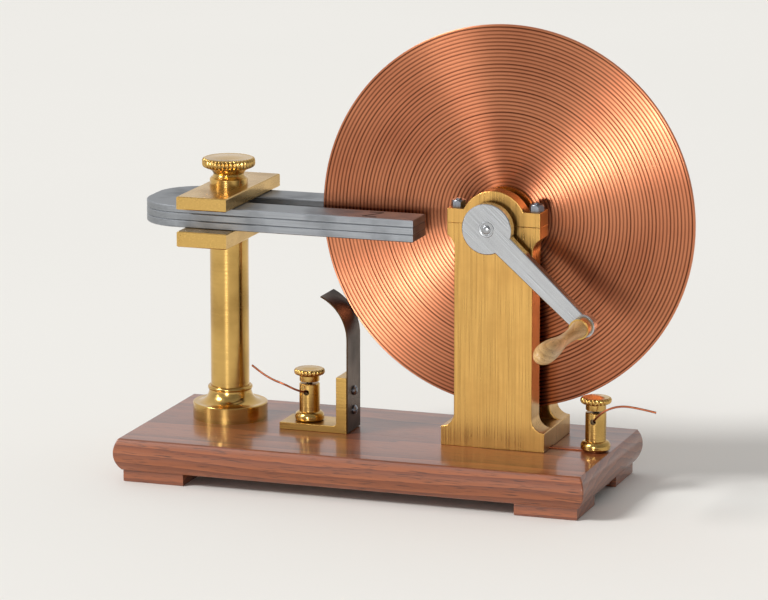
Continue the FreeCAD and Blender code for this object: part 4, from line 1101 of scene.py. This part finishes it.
@dataclass(frozen=True)
class PoleMark:
    """The letter N of the north pole, stamped into the top magnet's front arm and blacked."""

    along_mm: float = 9.0
    wide_mm: float = 14.0
    stroke_mm: float = 1.7
    proud_mm: float = 0.04
    from_pole_mm: float = 30.0
    arm_mm: float = 24.0
    # wax rubbed into the stamped strokes: flat and nearly black
    paint: Finish = Matte("black_in_a_stamped_mark", "#17171A", roughness=0.7)

    def build(self) -> None:
        """Draws the letter's three strokes, each a thin box half sunk in the arm."""
        low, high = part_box("top_magnet")
        middle = Vector((high.x - self.from_pole_mm * MM, low.y + self.arm_mm / 2 * MM, high.z))
        x, y = self.along_mm / 2 * MM, self.wide_mm / 2 * MM
        shell = bmesh.new()
        for start, end in (((-x, -y), (x, -y)), ((-x, y), (x, y)), ((-x, -y), (x, y))):
            start, end = Vector((*start, 0.0)), Vector((*end, 0.0))
            way = end - start
            size = (way.length, self.stroke_mm * MM, 2 * self.proud_mm * MM)
            turn = Vector((1.0, 0.0, 0.0)).rotation_difference(way)
            at = Matrix.LocRotScale(middle + (start + end) / 2, turn, size)
            bmesh.ops.create_cube(shell, size=1.0, matrix=at)
        seat(piece("pole_mark", shell, self.paint), "magnets", "magnet_steel")


@dataclass(frozen=True)
class Plinth:
    """The mahogany board on its four feet, and the copper strip let into its top."""

    board_edge: EasedEdges = EasedEdges(0.9)
    strip_edge: EasedEdges = EasedEdges(0.15)

    def build(self) -> None:
        """Eases the board and the strip, and dresses the feet and their screws."""
        self.board_edge.copy("base_board", "stand", "mahogany", MAHOGANY)
        self.strip_edge.copy("connecting_strip", "stand", "soft_copper", DRAWN_COPPER)
        dress(MAHOGANY, "feet")
        dress(BLUED_STEEL, "foot_screws")


@dataclass(frozen=True)
class MagnetStand:
    """The turned column, the clamp and the three magnets in it."""

    knob: KnurledHead = KnurledHead(
        "clamp_knob_knurled", "clamp_knob", "knob", KNOB_OUTLINE_MM, 40, 0.85, cut_from=7
    )
    rod: ThreadedRod = ThreadedRod("rod_threaded", "column_rod", "stand", BLUED_STEEL, 1.25, 0.8)
    mark: PoleMark = PoleMark()

    def build(self) -> None:
        """Dresses the column, the plates and the magnets, and turns the rod and the knob."""
        for node in ("column", "clamp_collar"):
            dress(turned_upright(node), node)
        dress(PLATE_BRASS, "lower_clamp_plate", "upper_clamp_plate")
        dress(GROUND_STEEL, "top_magnet", "middle_magnet", "bottom_magnet")
        dress(BLUED_STEEL, "column_washer", "column_nut")
        for part in (self.mark, self.rod, self.knob):
            part.build()


@dataclass(frozen=True)
class BearingFrame:
    """The cast frame that carries the shaft, with its caps, split bushes, studs and nuts."""

    casting_edge: EasedEdges = EasedEdges(0.5)

    def build(self) -> None:
        """Eases the castings and dresses the rest."""
        for node in ("bearing_frame", "front_bearing_cap", "rear_bearing_cap"):
            self.casting_edge.copy(node, "stand", "cast_brass", CAST_BRASS)
        for end in ("front", "rear"):
            dress(BRONZE, f"{end}_bush_upper", f"{end}_bush_lower")
        dress(FASTENER_STEEL, "cap_studs", "cap_nuts")
        dress(BLUED_STEEL, "frame_bolts")


@dataclass(frozen=True)
class Disc:
    """The copper disc, faced on a lathe: fine concentric grooves on both sides."""

    # the real grooves are finer: these are as coarse as the picture draws them
    groove_mm: float = 2.3
    depth_mm: float = 0.10
    edge_mm: float = 0.45
    bore_gap_mm: float = 0.05
    points_per_groove: int = 4
    segments: int = 180

    def build(self) -> None:
        """Turns the disc and puts it on the shaft."""
        low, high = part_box("copper_disc")
        radius, half = (high.z - low.z) / 2, (high.y - low.y) / 2
        low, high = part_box("shaft")
        bore = (high.x - low.x) / 2 + self.bore_gap_mm * MM
        edge = self.edge_mm * MM
        wide = radius - edge - bore
        grooves = round(wide / (self.groove_mm * MM))
        count = self.points_per_groove * grooves
        front = []
        for k in range(count + 1):
            wave = 0.5 - 0.5 * math.cos(math.tau * k / self.points_per_groove)
            front.append((bore + wide * k / count, half - self.depth_mm * MM * wave))
        rim = [(radius, half - edge), (radius, edge - half)]
        back = [(r, -h) for r, h in reversed(front)]
        middle = centre_of("copper_disc")
        made = lathe().turn(
            "copper_disc_faced",
            [*front, *rim, *back],
            FacedCopper("lathe_faced_copper", tuple(middle), bore, wide / grooves),
            facing_front(middle),
            Segments=self.segments,
        )
        seat(made, "rotor", "turned_copper", "copper_disc")


@dataclass(frozen=True)
class Shaft:
    """The steel shaft, whose front end shows as a domed pip in a ring."""

    # (radius, height) from the pip's top, about the level of the ring
    nose_mm: Outline = (
        (0.0, 0.8), (1.1, 0.72), (2.0, 0.48), (2.6, 0.16), (2.9, -0.35),
        (3.5, -0.35), (3.7, -0.05), (4.0, 0.0), (4.7, 0.0),
    )
    chamfer_mm: float = 0.35
    segments: int = 64

    def build(self) -> None:
        """Turns the shaft about its axis."""
        low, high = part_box("shaft")
        radius, half = (high.x - low.x) / 2, (high.y - low.y) / 2
        ring = half - self.nose_mm[0][1] * MM
        cut = self.chamfer_mm * MM
        nose = [(r * MM, ring + h * MM) for r, h in self.nose_mm]
        side = [(radius, ring - cut), (radius, cut - half), (radius - cut, -half), (0.0, -half)]
        finish = turned_along("turned_steel", "shaft", STEEL)
        place = facing_front(centre_of("shaft"))
        made = lathe().turn("shaft_turned", [*nose, *side], finish, place, Segments=self.segments)
        seat(made, "rotor", "bright_steel", "shaft")


@dataclass(frozen=True)
class Rotor:
    """The shaft with its disc, hubs and collar, and the crank with its loose handle."""

    disc: Disc = Disc()
    shaft: Shaft = Shaft()
    hub_screws: SlottedScrews = SlottedScrews(
        "hub_screws",
        "rotor",
        BLUED_STEEL,
        head_mm=((0.0, 2.0), (2.2, 1.95), (2.65, 1.7), (2.8, 1.3), (2.8, 0.0)),
        slot_mm=(8.0, 0.8, 1.8),
        seed=3,
    )
    hub_screw_count: int = 4

    def set_hub_screws(self) -> None:
        """Sets the ring of cheese-headed screws that hold the disc between its hubs."""
        low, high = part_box("hub_screws")
        middle = (low + high) / 2
        radius, top = self.hub_screws.head
        ring, face = (high.x - low.x) / 2 - radius, low.y + top
        spots = []
        for k in range(self.hub_screw_count):
            turn = math.tau * k / self.hub_screw_count
            x, z = middle.x + ring * math.cos(turn), middle.z + ring * math.sin(turn)
            spots.append(Vector((x, face, z)))
        self.hub_screws.build(spots, (QUARTER, 0.0, 0.0), high.y - low.y)

    def build(self) -> None:
        """Turns the disc and the shaft, sets the screws and dresses the rest."""
        self.disc.build()
        self.shaft.build()
        self.set_hub_screws()
        for node in ("shaft_collar", "handle_spindle"):
            dress(turned_along("turned_steel", node, STEEL), node)
        dress(CRANK_STEEL, "crank_arm")
        dress(BLUED_STEEL, "crank_pin", "hub_pin", "collar_screw")
        dress(turned_along("turned_brass", "front_hub", BRASS), "front_hub", "rear_hub")
        dress(turned_along("turned_brass", "handle_ferrule", BRASS), "handle_ferrule")
        dress(BOXWOOD, "handle_grip")


@dataclass(frozen=True)
class Terminal:
    """One binding post: the turned post, its thumb screw and its nut."""

    side: str

    def build(self) -> None:
        """Turns the thumb screw's stem and head and dresses the rest."""
        side = self.side
        post = f"{side}_terminal_post"
        dress(turned_upright(post), post)
        stem = ThreadedRod(
            f"{side}_stem_threaded",
            f"{side}_terminal_screw",
            f"{side}_stem",
            FASTENER_STEEL,
            pitch_mm=0.7,
            chamfer_mm=0.4,
        )
        stem.build()
        dress(BRACKET_BRASS, f"{side}_terminal_nut")
        head = KnurledHead(
            f"{side}_thumb_knurled",
            f"{side}_terminal_head",
            f"{side}_thumb",
            THUMB_OUTLINE_MM,
            flutes=22,
            depth_mm=0.7,
            cut_from=4,
        )
        head.build()


@dataclass(frozen=True)
class Brush:
    """The angle bracket with the springy strip that touches the disc's rim."""

    bracket_edge: EasedEdges = EasedEdges(0.4)
    strip_edge: EasedEdges = EasedEdges(0.2)
    screws: SlottedScrews = SlottedScrews(
        "strip_screws",
        "stand",
        FASTENER_STEEL,
        head_mm=((0.0, 2.2), (1.65, 1.98), (2.55, 1.45), (3.0, 0.8), (3.0, 0.0)),
        slot_mm=(8.0, 0.9, 1.6),
        seed=5,
    )

    def set_screws(self) -> None:
        """Sets the two domed screws that hold the strip, one above the other."""
        low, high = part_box("strip_screws")
        radius, top = self.screws.head
        x, y = high.x - top, (low.y + high.y) / 2
        spots = [Vector((x, y, z)) for z in (low.z + radius, high.z - radius)]
        self.screws.build(spots, (0.0, QUARTER, 0.0), high.x - low.x)

    def build(self) -> None:
        """Eases the bracket and the strip, and sets the screws."""
        self.bracket_edge.copy("brush_bracket", "stand", "lacquered_brass", BRACKET_BRASS)
        self.strip_edge.copy("contact_strip", "stand", "spring_brass", SPRING_BRASS)
        self.set_screws()
        dress(BLUED_STEEL, "bracket_dowel")


def main() -> None:
    """Sets the studio, lays the leads, and builds and dresses every piece."""
    logging.basicConfig(level=logging.INFO, format="%(message)s")
    Studio().set_up()
    leads = (
        Lead("bracket", BRACKET_ROUTE_MM, length_mm=52.3),
        Lead("base", BASE_ROUTE_MM, length_mm=53.5),
    )
    parts = Plinth(), MagnetStand(), BearingFrame(), Rotor(), Brush()
    for part in (*leads, *parts, Terminal("bracket"), Terminal("base")):
        part.build()


if __name__ == "__main__":
    main()
